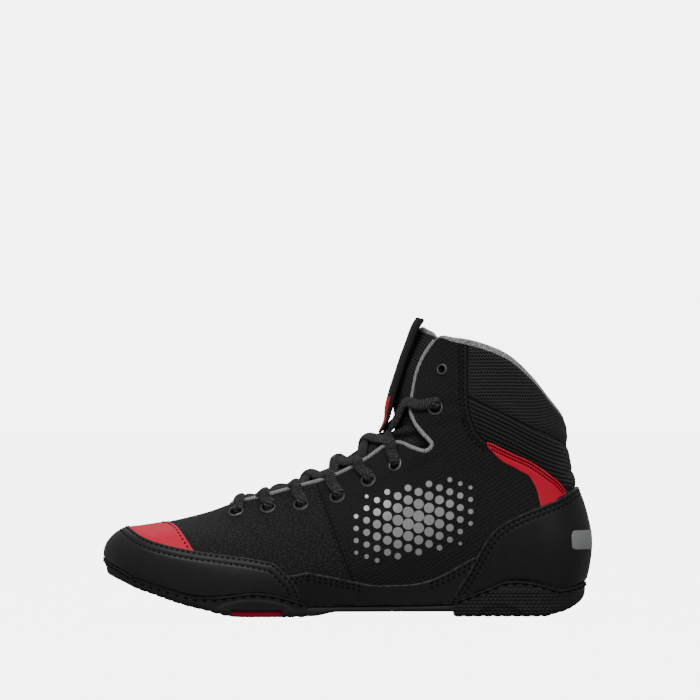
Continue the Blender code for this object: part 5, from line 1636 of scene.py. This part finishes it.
def build_laces(finish):
    """The lace: a bar at the front and six crossings, each run over the flap and into its eyelet."""
    eyelets = [spot_at(place(eyelet[0]), height(eyelet[1])) for eyelet in EYELETS]
    throats = [throat_station(spot) for spot in eyelets]
    lift = LACE_LIFT
    turn, rise = eyelets[0]
    points, ups, widths, heights = eyelet_dive(turn, rise)
    edge_at = throats[0]
    points = list(reversed(points)) + [on_upper(edge_at, 1.0, lift + PIPING * 0.7)]
    ups = [-u if k == 0 else u for k, u in enumerate(reversed(ups))] + [outward(edge_at, 1.0)]
    ups[0] = ups[1]
    widths, heights = list(reversed(widths)) + [1.0], list(reversed(heights)) + [1.0]
    centre = tongue_spot(edge_at, 0.5, lift + 0.0008)
    points += [centre[0]] + [mirror_point(p) for p in reversed(points)]
    ups += [centre[1]] + [mirror_point(u) for u in reversed(ups)]
    widths, heights = widths + [1.0] + widths[::-1], heights + [1.0] + heights[::-1]
    shape, faces, run = lace_shape(np.array(points), ups, widths, heights)
    add_piece("lace_front_bar", shape, faces, finish, "lace", ("lace_bar",), {"run": run})
    for k in range(6):
        low_at, high_at = throats[k], throats[k + 1]
        ends = low_at, high_at, eyelets[k], eyelets[k + 1]
        halves = [lace_half(side == (k % 2), *ends, bool(side)) for side in (0, 1)]
        shape, faces = joined([half[:2] for half in halves])
        run = np.concatenate([half[2] for half in halves])
        add_piece(f"lace_run_{k + 1}", shape, faces, finish, "lace", (f"lace_cross_{k + 1}",), {"run": run})


def build_stitches(panel_rows, flash_rows, thread):
    """Rows of thread on the panels and along the seams, and the zigzag strip at the collar."""
    add_piece("panel_stitches", *stitches(panel_rows, *PANEL_THREAD), thread, "lace")
    add_piece("flash_stitches", *stitches(flash_rows, *FLASH_THREAD), thread, "lace")
    rows = []
    for shift in VAMP_ROWS:
        rows += both_sides(VAMP_SEAM[1:-1], 0.0, shift)
    collar = [p for p in COLLAR_SEAM if p[0] < 0.80]
    for shift in COLLAR_ROWS:
        rows += both_sides(collar[1:], 0.0, shift)
    add_piece("seam_stitches", *stitches(rows, *SEAM_THREAD), thread, "lace")
    zigzag = []
    for points, normals in both_sides(collar[1:], 0.0, ZIGZAG, 0.0012):
        for k in range(len(points) - 1):
            zigzag.append((points[k:k + 2], normals[k:k + 2]))
    add_piece("zigzag_stitches", *stitches(zigzag, *ZIGZAG_THREAD), thread, "lace")


def feed(tree, socket, value):
    """Link a socket to another, or set its own value."""
    if isinstance(value, bpy.types.NodeSocket):
        tree.links.new(value, socket)
    elif socket.type == "RGBA" and len(value) == 3:
        socket.default_value = (*value, 1.0)
    else:
        socket.default_value = value


def add_node(tree, kind, inputs=None, **settings):
    """A node with its inputs linked or set and its settings."""
    made = tree.nodes.new(kind)
    for name, value in settings.items():
        setattr(made, name, value)
    for name, value in (inputs or {}).items():
        feed(tree, made.inputs[name], value)
    return made


def calc(tree, operation, *values):
    """Arithmetic on sockets or numbers."""
    made = tree.nodes.new("ShaderNodeMath")
    made.operation = operation
    for socket, value in zip(made.inputs, values):
        feed(tree, socket, value)
    return made.outputs[0]


def times(tree, first, second):
    """Product of two sockets or numbers."""
    return calc(tree, "MULTIPLY", first, second)


def step_mask(tree, value, low, high):
    """0 below one value and 1 above another, soft between them."""
    made = add_node(tree, "ShaderNodeMapRange", interpolation_type="SMOOTHSTEP")
    for name, one in (("Value", value), ("From Min", low), ("From Max", high)):
        feed(tree, made.inputs[name], one)
    return made.outputs["Result"]


def blend(tree, share, first, second):
    """Colour between two colours."""
    made = add_node(tree, "ShaderNodeMix", data_type="RGBA")
    for socket, value in zip((made.inputs[0], made.inputs[6], made.inputs[7]), (share, first, second)):
        feed(tree, socket, value)
    return made.outputs[2]


def between(tree, share, first, second):
    """Number between two numbers."""
    made = add_node(tree, "ShaderNodeMix", data_type="FLOAT")
    for socket, value in zip((made.inputs[0], made.inputs[2], made.inputs[3]), (share, first, second)):
        feed(tree, socket, value)
    return made.outputs[0]


def mark(tree, name, output="Fac"):
    """A value stored on the piece's points."""
    return add_node(tree, "ShaderNodeAttribute", attribute_name=name).outputs[output]


def marked(tree, name, low, high):
    """Mask of a stored value: 0 below one value and 1 above another."""
    return step_mask(tree, mark(tree, name), low, high)


def new_group(name, inputs, outputs):
    """An empty shared effect with its sockets."""
    tree = bpy.data.node_groups.new(name, "ShaderNodeTree")
    for label, value in inputs.items():
        kind = "NodeSocketVector" if value is None else "NodeSocketFloat"
        socket = tree.interface.new_socket(label, in_out="INPUT", socket_type=kind)
        if value is not None:
            socket.default_value = value
    for label in outputs:
        tree.interface.new_socket(label, in_out="OUTPUT", socket_type="NodeSocketFloat")
    return tree, tree.nodes.new("NodeGroupInput").outputs, tree.nodes.new("NodeGroupOutput").inputs


def split(tree, vector):
    """The first two coordinates of a place."""
    made = add_node(tree, "ShaderNodeSeparateXYZ", {0: vector})
    return made.outputs[0], made.outputs[1]


def wave(tree, place_on, pitch):
    """Cosine of a place with a pitch, from 0 to 1."""
    turns = times(tree, calc(tree, "DIVIDE", place_on, pitch), 2 * math.pi)
    return calc(tree, "MULTIPLY_ADD", calc(tree, "COSINE", turns), 0.5, 0.5)


def noise(tree, vector, scale, detail=3.0, roughness=0.55):
    """Cloudy noise at a place."""
    inputs = {"Vector": vector, "Scale": scale, "Detail": detail, "Roughness": roughness}
    return add_node(tree, "ShaderNodeTexNoise", inputs).outputs[0]


def plain_weave_effect():
    """Over and under threads, with slubs that catch the light."""
    tree, ins, outs = new_group("plain weave", {"Place": None, "Pitch": 0.001}, ("Height", "Slubs"))
    across_at, up_at = split(tree, ins["Place"])
    over = wave(tree, across_at, ins["Pitch"])
    under = wave(tree, up_at, ins["Pitch"])
    check = calc(tree, "ABSOLUTE", calc(tree, "SUBTRACT", over, under))
    coarse = noise(tree, ins["Place"], 900.0, 2.0)
    feed(tree, outs["Height"], calc(tree, "ADD", check, times(tree, coarse, 0.8)))
    slubs = noise(tree, ins["Place"], 820.0, 3.0)
    feed(tree, outs["Slubs"], step_mask(tree, slubs, 0.44, 0.66))
    return tree


def rib_effect():
    """Ribs that run at an angle, broken by fine cross threads, and a mask of their valleys for painted shade.
    """
    inputs = {"Place": None, "Pitch": 0.002, "Cross Pitch": 0.001, "Slope": 0.5}
    tree, ins, outs = new_group("ribbed cloth", inputs, ("Height", "Valley Shade"))
    across_at, up_at = split(tree, ins["Place"])
    wobble = times(tree, noise(tree, ins["Place"], 120.0, 2.0), 0.0006)
    slope_cos = calc(tree, "COSINE", ins["Slope"])
    slope_sin = calc(tree, "SINE", ins["Slope"])
    off = calc(tree, "SUBTRACT", times(tree, up_at, slope_cos),
               times(tree, across_at, slope_sin))
    along = calc(tree, "ADD", times(tree, across_at, slope_cos),
                 times(tree, up_at, slope_sin))
    ribs = wave(tree, calc(tree, "ADD", off, wobble), ins["Pitch"])
    cross = wave(tree, along, ins["Cross Pitch"])
    shape = times(tree, ribs, calc(tree, "MULTIPLY_ADD", cross, 0.70, 0.30))
    feed(tree, outs["Height"], shape)
    # Mask of the valleys between the ribs, where the finishes paint the shade that falls in them
    feed(tree, outs["Valley Shade"], step_mask(tree, shape, 0.55, 0.10))
    return tree


def mesh_effect():
    """Knitted mesh: rows of small holes, each row set half a hole on and slanting the other way."""
    tree, ins, outs = new_group(
        "knitted mesh", {"Place": None, "Pitch": 0.0016, "Row": 0.0010, "Slant": 0.0}, ("Height", "Hole Shade")
    )
    across_at, up_at = split(tree, ins["Place"])
    rows = calc(tree, "DIVIDE", up_at, ins["Row"])
    odd = calc(tree, "MODULO", calc(tree, "FLOOR", rows), 2.0)
    off_up = calc(tree, "SUBTRACT", calc(tree, "FRACT", rows), 0.5)
    lean = times(tree, times(tree, off_up, ins["Slant"]),
                calc(tree, "MULTIPLY_ADD", odd, 2.0, -1.0))
    along = calc(tree, "ADD", calc(tree, "DIVIDE", across_at, ins["Pitch"]),
                 calc(tree, "MULTIPLY_ADD", odd, 0.5, lean))
    off_along = calc(tree, "SUBTRACT", calc(tree, "FRACT", along), 0.5)
    across_part = times(tree, off_along, times(tree, off_along, 1.1))
    reach = calc(tree, "SQRT", calc(tree, "ADD", across_part, times(tree, off_up, off_up)))
    feed(tree, outs["Height"], step_mask(tree, reach, 0.12, 0.45))
    # Mask of the holes, where the finishes paint the shade that falls inside them
    feed(tree, outs["Hole Shade"], step_mask(tree, reach, 0.49, 0.27))
    return tree


def grain_effect():
    """Fine pebbled grain of a coated synthetic."""
    tree, ins, outs = new_group("pebble grain", {"Place": None, "Scale": 1400.0}, ("Height", "Shade"))
    cells = add_node(tree, "ShaderNodeTexVoronoi", {"Vector": ins["Place"], "Scale": ins["Scale"]},
                     feature="SMOOTH_F1").outputs["Distance"]
    cloud = noise(tree, ins["Place"], 160.0, 4.0)
    feed(tree, outs["Height"], calc(tree, "ADD", cells, times(tree, cloud, 0.5)))
    feed(tree, outs["Shade"], cloud)
    return tree


def fibre_effect():
    """Heather fibres: fine streaks and specks of lighter yarn."""
    tree, ins, outs = new_group("heather fibres", {"Place": None, "Scale": 1100.0}, ("Height", "Light"))
    specks = noise(tree, ins["Place"], ins["Scale"], 3.0, 0.7)
    patches = noise(tree, ins["Place"], 420.0, 2.0)
    feed(tree, outs["Height"], specks)
    feed(tree, outs["Light"], times(tree, step_mask(tree, specks, 0.42, 0.62),
                                   calc(tree, "MULTIPLY_ADD", patches, 0.7, 0.45)))
    return tree


def wear_effect():
    """Rubbed edges and faint scuffs, from the distance to an edge in millimetres."""
    tree, ins, outs = new_group("edge wear", {"Place": None, "Edge": 5.0, "Reach": 0.8}, ("Rubbed", "Scuffs"))
    patches = noise(tree, ins["Place"], 260.0, 4.0)
    near = calc(tree, "SUBTRACT", 1.0, calc(tree, "DIVIDE", ins["Edge"], ins["Reach"]))
    rubbed = times(tree, calc(tree, "MAXIMUM", near, 0.0), step_mask(tree, patches, 0.35, 0.65))
    feed(tree, outs["Rubbed"], rubbed)
    inputs = {"Vector": ins["Place"], "Scale": (1.0, 6.0, 1.0)}
    stretched = add_node(tree, "ShaderNodeMapping", inputs).outputs[0]
    feed(tree, outs["Scuffs"], step_mask(tree, noise(tree, stretched, 55.0, 5.0), 0.58, 0.75))
    return tree


EFFECTS = {}


def effect(tree, name, **inputs):
    """A shared effect placed in a material, with its own values."""
    made = tree.nodes.new("ShaderNodeGroup")
    made.node_tree = EFFECTS[name]
    for label, value in inputs.items():
        feed(tree, made.inputs[label.replace("_", " ")], value)
    return made.outputs


def new_material(name, roughness=0.6, **settings):
    """A material whose shader keeps its plain values on its own sockets."""
    made = bpy.data.materials.new(name)
    made.use_nodes = True
    tree = made.node_tree
    shader = tree.nodes["Principled BSDF"]
    shader.inputs["Roughness"].default_value = roughness
    for label, value in settings.items():
        feed(tree, shader.inputs[label.replace("_", " ")], value)
    return made, tree, shader


def finished(made, tree, shader, colour, relief, strength, distance):
    """A material given its colour and its fine relief."""
    feed(tree, shader.inputs["Base Color"], colour)
    inputs = {"Height": relief, "Strength": strength, "Distance": distance}
    bump = add_node(tree, "ShaderNodeBump", inputs)
    feed(tree, shader.inputs["Normal"], bump.outputs[0])
    return made


def object_place(tree):
    """The place of a point on its piece."""
    return add_node(tree, "ShaderNodeTexCoord").outputs["Object"]


def cloth_material():
    """The upper: speckled weave, twill behind the seam, padded mesh, ribbed collar and heather lining."""
    made, tree, shader = new_material("upper cloth", 0.85, Sheen_Weight=0.06, Sheen_Roughness=0.5,
                                       Specular_IOR_Level=0.22)
    on_cloth = mark(tree, "cloth", "Vector")
    behind = marked(tree, "vamp", -0.1, 0.1)
    collar = marked(tree, "collar", -0.1, 0.1)
    mesh_zone = times(tree, collar, marked(tree, "mesh", -0.1, 0.1))
    weave = effect(tree, "weave", Place=on_cloth, Pitch=0.0013)
    twill = effect(tree, "ribs", Place=on_cloth, Pitch=0.0022, Cross_Pitch=0.0016, Slope=-0.55)
    ribs = effect(tree, "ribs", Place=on_cloth, Pitch=0.0023, Cross_Pitch=0.0016, Slope=0.42)
    knit = effect(tree, "mesh", Place=on_cloth, Pitch=0.0018, Row=0.0019, Slant=0.9)
    fibres = effect(tree, "fibres", Place=on_cloth, Scale=1100.0)
    top = mark(tree, "top")
    band_at = times(tree, marked(tree, "station", 8.2, 5.2), LINING_BAND * MM)
    band = times(tree, step_mask(tree, calc(tree, "SUBTRACT", band_at, top), -0.15, 0.15),
                marked(tree, "station", 8.2, 7.4))
    lining = calc(tree, "MAXIMUM", marked(tree, "inside", 0.6, 0.9), band)
    vamp_colour = blend(tree, weave["Slubs"], (0.0110, 0.0110, 0.0116), (0.042, 0.042, 0.044))
    # Painted shade: the twill's valleys are coloured darker
    twill_colour = blend(tree, twill["Valley Shade"], (0.0160, 0.0160, 0.0167), (0.0085, 0.0085, 0.0089))
    flecks = times(tree, weave["Slubs"], 0.45)
    twill_colour = blend(tree, flecks, twill_colour, (0.035, 0.035, 0.037))
    # Painted shade: the valleys between the collar ribs are coloured near black
    rib_colour = blend(tree, ribs["Valley Shade"], (0.0420, 0.0420, 0.0435), (0.0030, 0.0030, 0.0032))
    # Painted shade: the holes of the knitted mesh are coloured near black
    knit_colour = blend(tree, knit["Hole Shade"], (0.0480, 0.0480, 0.0498), (0.0010, 0.0010, 0.0011))
    colour = blend(tree, behind, vamp_colour, twill_colour)
    colour = blend(tree, collar, colour, rib_colour)
    colour = blend(tree, mesh_zone, colour, knit_colour)
    # Along each seam: a dark line painted as the shade in its groove, and a lighter band painted as the
    # highlight on the welt beside it
    for at, where in (("vamp", 1.0), ("collar", 1.0), ("mesh", collar)):
        away = calc(tree, "ABSOLUTE", mark(tree, at))
        line = times(tree, step_mask(tree, away, 0.75, 0.25), where)
        welt_highlight = times(tree, step_mask(tree, away, 2.1, 1.3), times(tree, where, 0.35))
        colour = blend(tree, welt_highlight, colour, (0.030, 0.030, 0.0315))
        colour = blend(tree, line, colour, (0.0015, 0.0015, 0.0016))
    heather = blend(tree, fibres["Light"], (0.19, 0.191, 0.197), (0.68, 0.685, 0.70))
    colour = blend(tree, lining, colour, heather)
    relief = between(tree, behind, times(tree, weave["Height"], 0.6),
                     times(tree, twill["Height"], 0.6))
    relief = between(tree, collar, relief, times(tree, ribs["Height"], 1.6))
    relief = between(tree, mesh_zone, relief, times(tree, knit["Height"], 1.6))
    relief = between(tree, lining, relief, times(tree, fibres["Height"], 1.8))
    return finished(made, tree, shader, colour, relief, 0.85, 0.0005)


def synthetic_material(name, base, light, roughness=0.46, grain=1400.0, rubbed=(0.10, 0.10, 0.105)):
    """Coated synthetic: fine grain, a satin face, edges rubbed a little lighter."""
    made, tree, shader = new_material(name, roughness, Specular_IOR_Level=0.26, Coat_Weight=0.03,
                                       Coat_Roughness=0.35)
    on_cloth = mark(tree, "cloth", "Vector")
    pebbles = effect(tree, "grain", Place=on_cloth, Scale=grain)
    worn = effect(tree, "wear", Place=on_cloth, Edge=mark(tree, "edge"), Reach=1.1)
    colour = blend(tree, pebbles["Shade"], base, light)
    colour = blend(tree, times(tree, worn["Rubbed"], 0.9), colour, rubbed)
    rough = calc(tree, "MULTIPLY_ADD", pebbles["Shade"], 0.16, roughness - 0.08)
    feed(tree, shader.inputs["Roughness"], calc(tree, "MULTIPLY_ADD", worn["Scuffs"], 0.08, rough))
    return finished(made, tree, shader, colour, pebbles["Height"], 0.35, 0.00012)


def cover_material(black, dark, red, deep):
    """The strip in front of the tongue: black, and red on the low part of its front."""
    made, tree, shader = new_material("lace cover", 0.55, Specular_IOR_Level=0.25)
    on_cloth = mark(tree, "cloth", "Vector")
    pebbles = effect(tree, "grain", Place=on_cloth, Scale=1500.0)
    weave = effect(tree, "weave", Place=on_cloth, Pitch=0.0007)
    low = marked(tree, "high", 27.5, 26.5)
    front = times(tree, low, marked(tree, "back", 0.6, 0.4))
    front = times(tree, front, marked(tree, "edge", 2.0, 2.6))
    plain = blend(tree, pebbles["Shade"], black, dark)
    bright = blend(tree, pebbles["Shade"], red, deep)
    return finished(made, tree, shader, blend(tree, front, plain, bright), weave["Height"], 0.3, 0.0002)


def tongue_material():
    """Padded black mesh in front, grey heather behind and round the rim of the tip."""
    made, tree, shader = new_material("tongue mesh", 0.85, Sheen_Weight=0.05, Sheen_Roughness=0.5,
                                       Specular_IOR_Level=0.22)
    on_cloth = mark(tree, "cloth", "Vector")
    knit = effect(tree, "mesh", Place=on_cloth, Pitch=0.0018, Row=0.0019, Slant=0.9)
    fibres = effect(tree, "fibres", Place=on_cloth, Scale=1100.0)
    level = add_node(tree, "ShaderNodeSeparateXYZ", {0: object_place(tree)}).outputs[2]
    tip = step_mask(tree, level, 0.148, 0.154)
    rim = times(tree, marked(tree, "edge", 3.6, 2.8), tip)
    behind = calc(tree, "MAXIMUM", marked(tree, "back", 0.4, 0.6), rim)
    # Painted shade: the holes of the tongue's mesh are coloured near black
    front = blend(tree, knit["Hole Shade"], (0.0420, 0.0420, 0.0435), (0.0012, 0.0012, 0.0013))
    heather = blend(tree, fibres["Light"], (0.16, 0.161, 0.167), (0.55, 0.555, 0.57))
    relief = between(tree, behind, times(tree, knit["Height"], 1.6),
                     times(tree, fibres["Height"], 1.4))
    return finished(made, tree, shader, blend(tree, behind, front, heather), relief, 0.7, 0.00035)


def rubber_material(name, base, light, knurled):
    """Moulded rubber: matt, faintly cloudy, with a fine moulded dot pattern low on its side."""
    made, tree, shader = new_material(name, 0.62, Specular_IOR_Level=0.30)
    at = object_place(tree)
    fine = effect(tree, "grain", Place=at, Scale=1900.0)
    worn = effect(tree, "wear", Place=at, Edge=5.0)
    made_colour = blend(tree, fine["Shade"], base, light)
    scuffed = tuple(1.9 * c for c in light)
    made_colour = blend(tree, times(tree, worn["Scuffs"], 0.35), made_colour, scuffed)
    feed(tree, shader.inputs["Roughness"], calc(tree, "MULTIPLY_ADD", fine["Shade"], 0.2, 0.50))
    parts = add_node(tree, "ShaderNodeSeparateXYZ", {0: at})
    side_place = add_node(tree, "ShaderNodeCombineXYZ", {0: parts.outputs[0], 1: parts.outputs[2]}).outputs[0]
    dots = effect(tree, "mesh", Place=side_place, Pitch=0.0026, Row=0.0020)
    zone = times(tree, step_mask(tree, parts.outputs[0], place(knurled), place(knurled) + 0.004),
                step_mask(tree, parts.outputs[2], 0.0165, 0.0150))
    relief = calc(tree, "MULTIPLY_ADD", times(tree, dots["Height"], zone), 4.0, fine["Height"])
    return finished(made, tree, shader, made_colour, relief, 0.6, 0.00028)


def lace_material():
    """Woven lace: dull, ribbed across, with painted shade between the ribs and a few lighter threads."""
    made, tree, shader = new_material("lace weave", 0.75, Sheen_Weight=0.08, Sheen_Roughness=0.45,
                                       Specular_IOR_Level=0.25)
    at = object_place(tree)
    weave = effect(tree, "weave", Place=at, Pitch=0.0009)
    ribs = wave(tree, mark(tree, "run"), LACE_RIB * MM)
    colour = blend(tree, weave["Slubs"], (0.0420, 0.0420, 0.0433), (0.110, 0.110, 0.113))
    # Painted shade: the valleys between the lace's ribs are coloured near black
    colour = blend(tree, step_mask(tree, ribs, 0.35, 0.05), colour, (0.0060, 0.0060, 0.0062))
    relief = calc(tree, "MULTIPLY_ADD", ribs, 1.5, weave["Height"])
    return finished(made, tree, shader, colour, relief, 0.8, 0.0004)


def thread_material():
    """Dark waxed thread, painted near black as the shade in the stitch holes."""
    made, tree, shader = new_material("waxed thread", 0.7, Specular_IOR_Level=0.12)
    at = object_place(tree)
    grain = effect(tree, "grain", Place=at, Scale=2500.0)
    # Painted shade: the thread is coloured darker than the black panels, as the shade in its stitch holes
    colour = blend(tree, grain["Shade"], (0.0012, 0.0012, 0.0013), (0.0040, 0.0040, 0.0042))
    return finished(made, tree, shader, colour, grain["Height"], 0.4, 0.0001)


def piping_material():
    """Grey twisted cord."""
    made, tree, shader = new_material("grey cord", 0.8, Sheen_Weight=0.2)
    at = object_place(tree)
    fibres = effect(tree, "fibres", Place=at, Scale=1300.0)
    ribs = effect(tree, "ribs", Place=at, Pitch=0.0013, Cross_Pitch=0.0008, Slope=0.9)
    colour = blend(tree, fibres["Light"], (0.36, 0.362, 0.37), (0.68, 0.685, 0.70))
    # Painted shade: the valleys of the twisted cord are coloured darker
    colour = blend(tree, times(tree, ribs["Valley Shade"], 0.6), colour, (0.10, 0.10, 0.104))
    return finished(made, tree, shader, colour, ribs["Height"], 0.7, 0.0004)


def insole_material():
    """Grey heather cloth of the insole."""
    made, tree, shader = new_material("insole cloth", 0.85, Sheen_Weight=0.2)
    at = object_place(tree)
    fibres = effect(tree, "fibres", Place=at, Scale=900.0)
    colour = blend(tree, fibres["Light"], (0.055, 0.056, 0.060), (0.20, 0.203, 0.21))
    return finished(made, tree, shader, colour, fibres["Height"], 0.5, 0.0003)


def metal_material():
    """Dark enamelled eyelet: a painted highlight on the bead of its rim, and patches worn brighter near its
    outer edge.
    """
    made, tree, shader = new_material("dark enamel", 0.38, Metallic=0.6)
    at = object_place(tree)
    worn = effect(tree, "wear", Place=at, Edge=mark(tree, "edge"), Reach=1.3)
    grain = effect(tree, "grain", Place=at, Scale=1200.0)
    # Painted highlight: the bead of the rim is coloured lighter, as the light that it catches
    ring = marked(tree, "edge", 1.05, 0.75)
    colour = blend(tree, ring, (0.018, 0.018, 0.019), (0.17, 0.171, 0.176))
    colour = blend(tree, worn["Rubbed"], colour, (0.30, 0.302, 0.31))
    feed(tree, shader.inputs["Base Color"], colour)
    feed(tree, shader.inputs["Roughness"], calc(tree, "MULTIPLY_ADD", grain["Shade"], 0.2, 0.24))
    return made


def print_material():
    """Silver grey print: thin, matt and slightly glinting."""
    made, tree, shader = new_material("silver print", 0.42, Metallic=0.35)
    at = object_place(tree)
    fibres = effect(tree, "fibres", Place=at, Scale=1500.0)
    parts = add_node(tree, "ShaderNodeSeparateXYZ", {0: at})
    # The grey runs from darker low on the shoe to lighter higher up
    fade = step_mask(tree, parts.outputs[2], 0.028, 0.085)
    colour = blend(tree, fade, (0.34, 0.345, 0.35), (0.50, 0.505, 0.515))
    colour = blend(tree, times(tree, fibres["Light"], 0.25), colour, (0.42, 0.425, 0.43))
    return finished(made, tree, shader, colour, fibres["Height"], 0.25, 0.0001)


# The room's light, the brightness of the white paper behind, each lamp's place, size and power, and the
# place that the lamps look at
WORLD_LIGHT = 0.29
PAPER_WHITE = 6.0
LIGHTS = (
    ("key", (-0.45, -1.15, 1.8), (0.9, 0.7), 21.0),
    ("fill", (0.9, -1.4, 0.8), (0.7, 0.7), 3.0),
    ("back", (0.1, 1.3, 1.5), (1.4, 0.8), 8.0),
)
LIT_PLACE = (-0.10, 0.0, 0.06)
FLOOR_SIZE = 20.0
FLOOR_GLOW = 5.6
# The photograph's frame: its width in metres at the shoe, the place of its middle, the camera's distance
FRAME_WIDTH = 0.4069
FRAME_MIDDLE = (-0.10464, 0.15404)
CAMERA_FAR = 4.5
SENSOR = 36.0


def build_camera():
    """The photograph's camera."""
    data = bpy.data.cameras.new("camera")
    data.sensor_width = SENSOR
    data.lens = SENSOR * CAMERA_FAR / FRAME_WIDTH
    data.clip_end = 50.0
    camera = bpy.data.objects.new("camera", data)
    camera.location = (FRAME_MIDDLE[0], -CAMERA_FAR, FRAME_MIDDLE[1])
    camera.rotation_euler = (math.radians(90.0), 0.0, 0.0)
    bpy.context.scene.collection.objects.link(camera)
    bpy.context.scene.camera = camera


def build_lights():
    """Plain soft studio light: a bright room and three broad lamps."""
    world = bpy.data.worlds.new("studio")
    world.use_nodes = True
    tree = world.node_tree
    seen = add_node(tree, "ShaderNodeLightPath").outputs["Is Camera Ray"]
    feed(tree, tree.nodes["Background"].inputs["Color"], (1.0, 1.0, 1.0))
    feed(tree, tree.nodes["Background"].inputs["Strength"], between(tree, seen, WORLD_LIGHT, PAPER_WHITE))
    bpy.context.scene.world = world
    middle = Vector(LIT_PLACE)
    for name, at, size, power in LIGHTS:
        data = bpy.data.lights.new(name, "AREA")
        data.shape = "RECTANGLE"
        data.size, data.size_y = size
        data.energy = power
        light = bpy.data.objects.new(name, data)
        light.location = at
        light.rotation_euler = (middle - Vector(at)).to_track_quat("-Z", "Y").to_euler()
        bpy.context.scene.collection.objects.link(light)


def build_floor():
    """A pale floor that looks like white paper to the camera."""
    mesh = bpy.data.meshes.new("floor")
    half = 0.5 * FLOOR_SIZE
    corners = [(-half, -half, 0), (half, -half, 0), (half, half, 0), (-half, half, 0)]
    mesh.from_pydata(corners, [], [(0, 1, 2, 3)])
    floor = bpy.data.objects.new("floor", mesh)
    floor.location.z = -0.0002
    made, tree, shader = new_material("pale floor", 0.9)
    shade = noise(tree, object_place(tree), 3.0)
    feed(tree, shader.inputs["Base Color"], blend(tree, shade, (0.30, 0.30, 0.30), (0.34, 0.34, 0.34)))
    seen = add_node(tree, "ShaderNodeLightPath").outputs["Is Camera Ray"]
    glow = blend(tree, seen, (0.0, 0.0, 0.0), (FLOOR_GLOW, FLOOR_GLOW, FLOOR_GLOW))
    feed(tree, shader.inputs["Emission Color"], glow)
    feed(tree, shader.inputs["Emission Strength"], 1.0)
    mesh.materials.append(made)
    bpy.context.scene.collection.objects.link(floor)


def main():
    """Finishes, room and every piece of the shoe."""
    EFFECTS.update(
        weave=plain_weave_effect(), ribs=rib_effect(), mesh=mesh_effect(), grain=grain_effect(),
        fibres=fibre_effect(), wear=wear_effect(),
    )
    build_camera()
    build_lights()
    build_floor()
    cloth = cloth_material()
    synthetic = synthetic_material("black synthetic", (0.0130, 0.0130, 0.0136), (0.0205, 0.0205, 0.0214))
    # Copies of the black synthetic with light and shade painted in: lighter on the toe cap, where more light
    # falls, darker on the heel counter, which lies in shade
    toe_black_painted_light = synthetic_material("toe synthetic painted light", (0.0175, 0.0175, 0.0182), (0.0275, 0.0275, 0.0286))
    heel_black_painted_shade = synthetic_material("heel synthetic painted shade", (0.0105, 0.0105, 0.0110), (0.0165, 0.0165, 0.0172))
    # A copy of the red synthetic painted darker and deeper for the heel flashes, as the shade at the heel
    heel_red_painted_shade = synthetic_material("heel red synthetic painted shade", (0.68, 0.004, 0.030), (0.78, 0.008, 0.042),
                                  0.6, 1700.0, (0.85, 0.05, 0.09))
    red = synthetic_material("red synthetic", (0.80, 0.010, 0.052), (0.92, 0.018, 0.066),
                             0.6, 1700.0, (0.95, 0.10, 0.15))
    rubber = rubber_material("black rubber", (0.0140, 0.0140, 0.0145), (0.0240, 0.0240, 0.0249), 0.70)
    red_rubber = rubber_material("red rubber", (0.62, 0.004, 0.045), (0.72, 0.008, 0.055), 2.0)
    lace = lace_material()
    thread = thread_material()
    piping = piping_material()
    silver = print_material()
    build_upper(cloth)
    rows = build_toe(toe_black_painted_light, red)
    rows += build_rands(synthetic)
    counter_rows, flash_rows = build_heel_panels(heel_black_painted_shade, heel_red_painted_shade, silver)
    build_stitches(rows + counter_rows, flash_rows, thread)
    build_print(silver)
    build_soles(rubber, red_rubber, thread)
    build_insole(insole_material())
    build_tongue(tongue_material())
    build_cover(cover_material((0.010, 0.010, 0.0105), (0.016, 0.016, 0.017),
                               (0.80, 0.006, 0.030), (0.92, 0.012, 0.042)))
    build_piping(piping)
    build_eyelets(metal_material())
    build_laces(lace)


main()
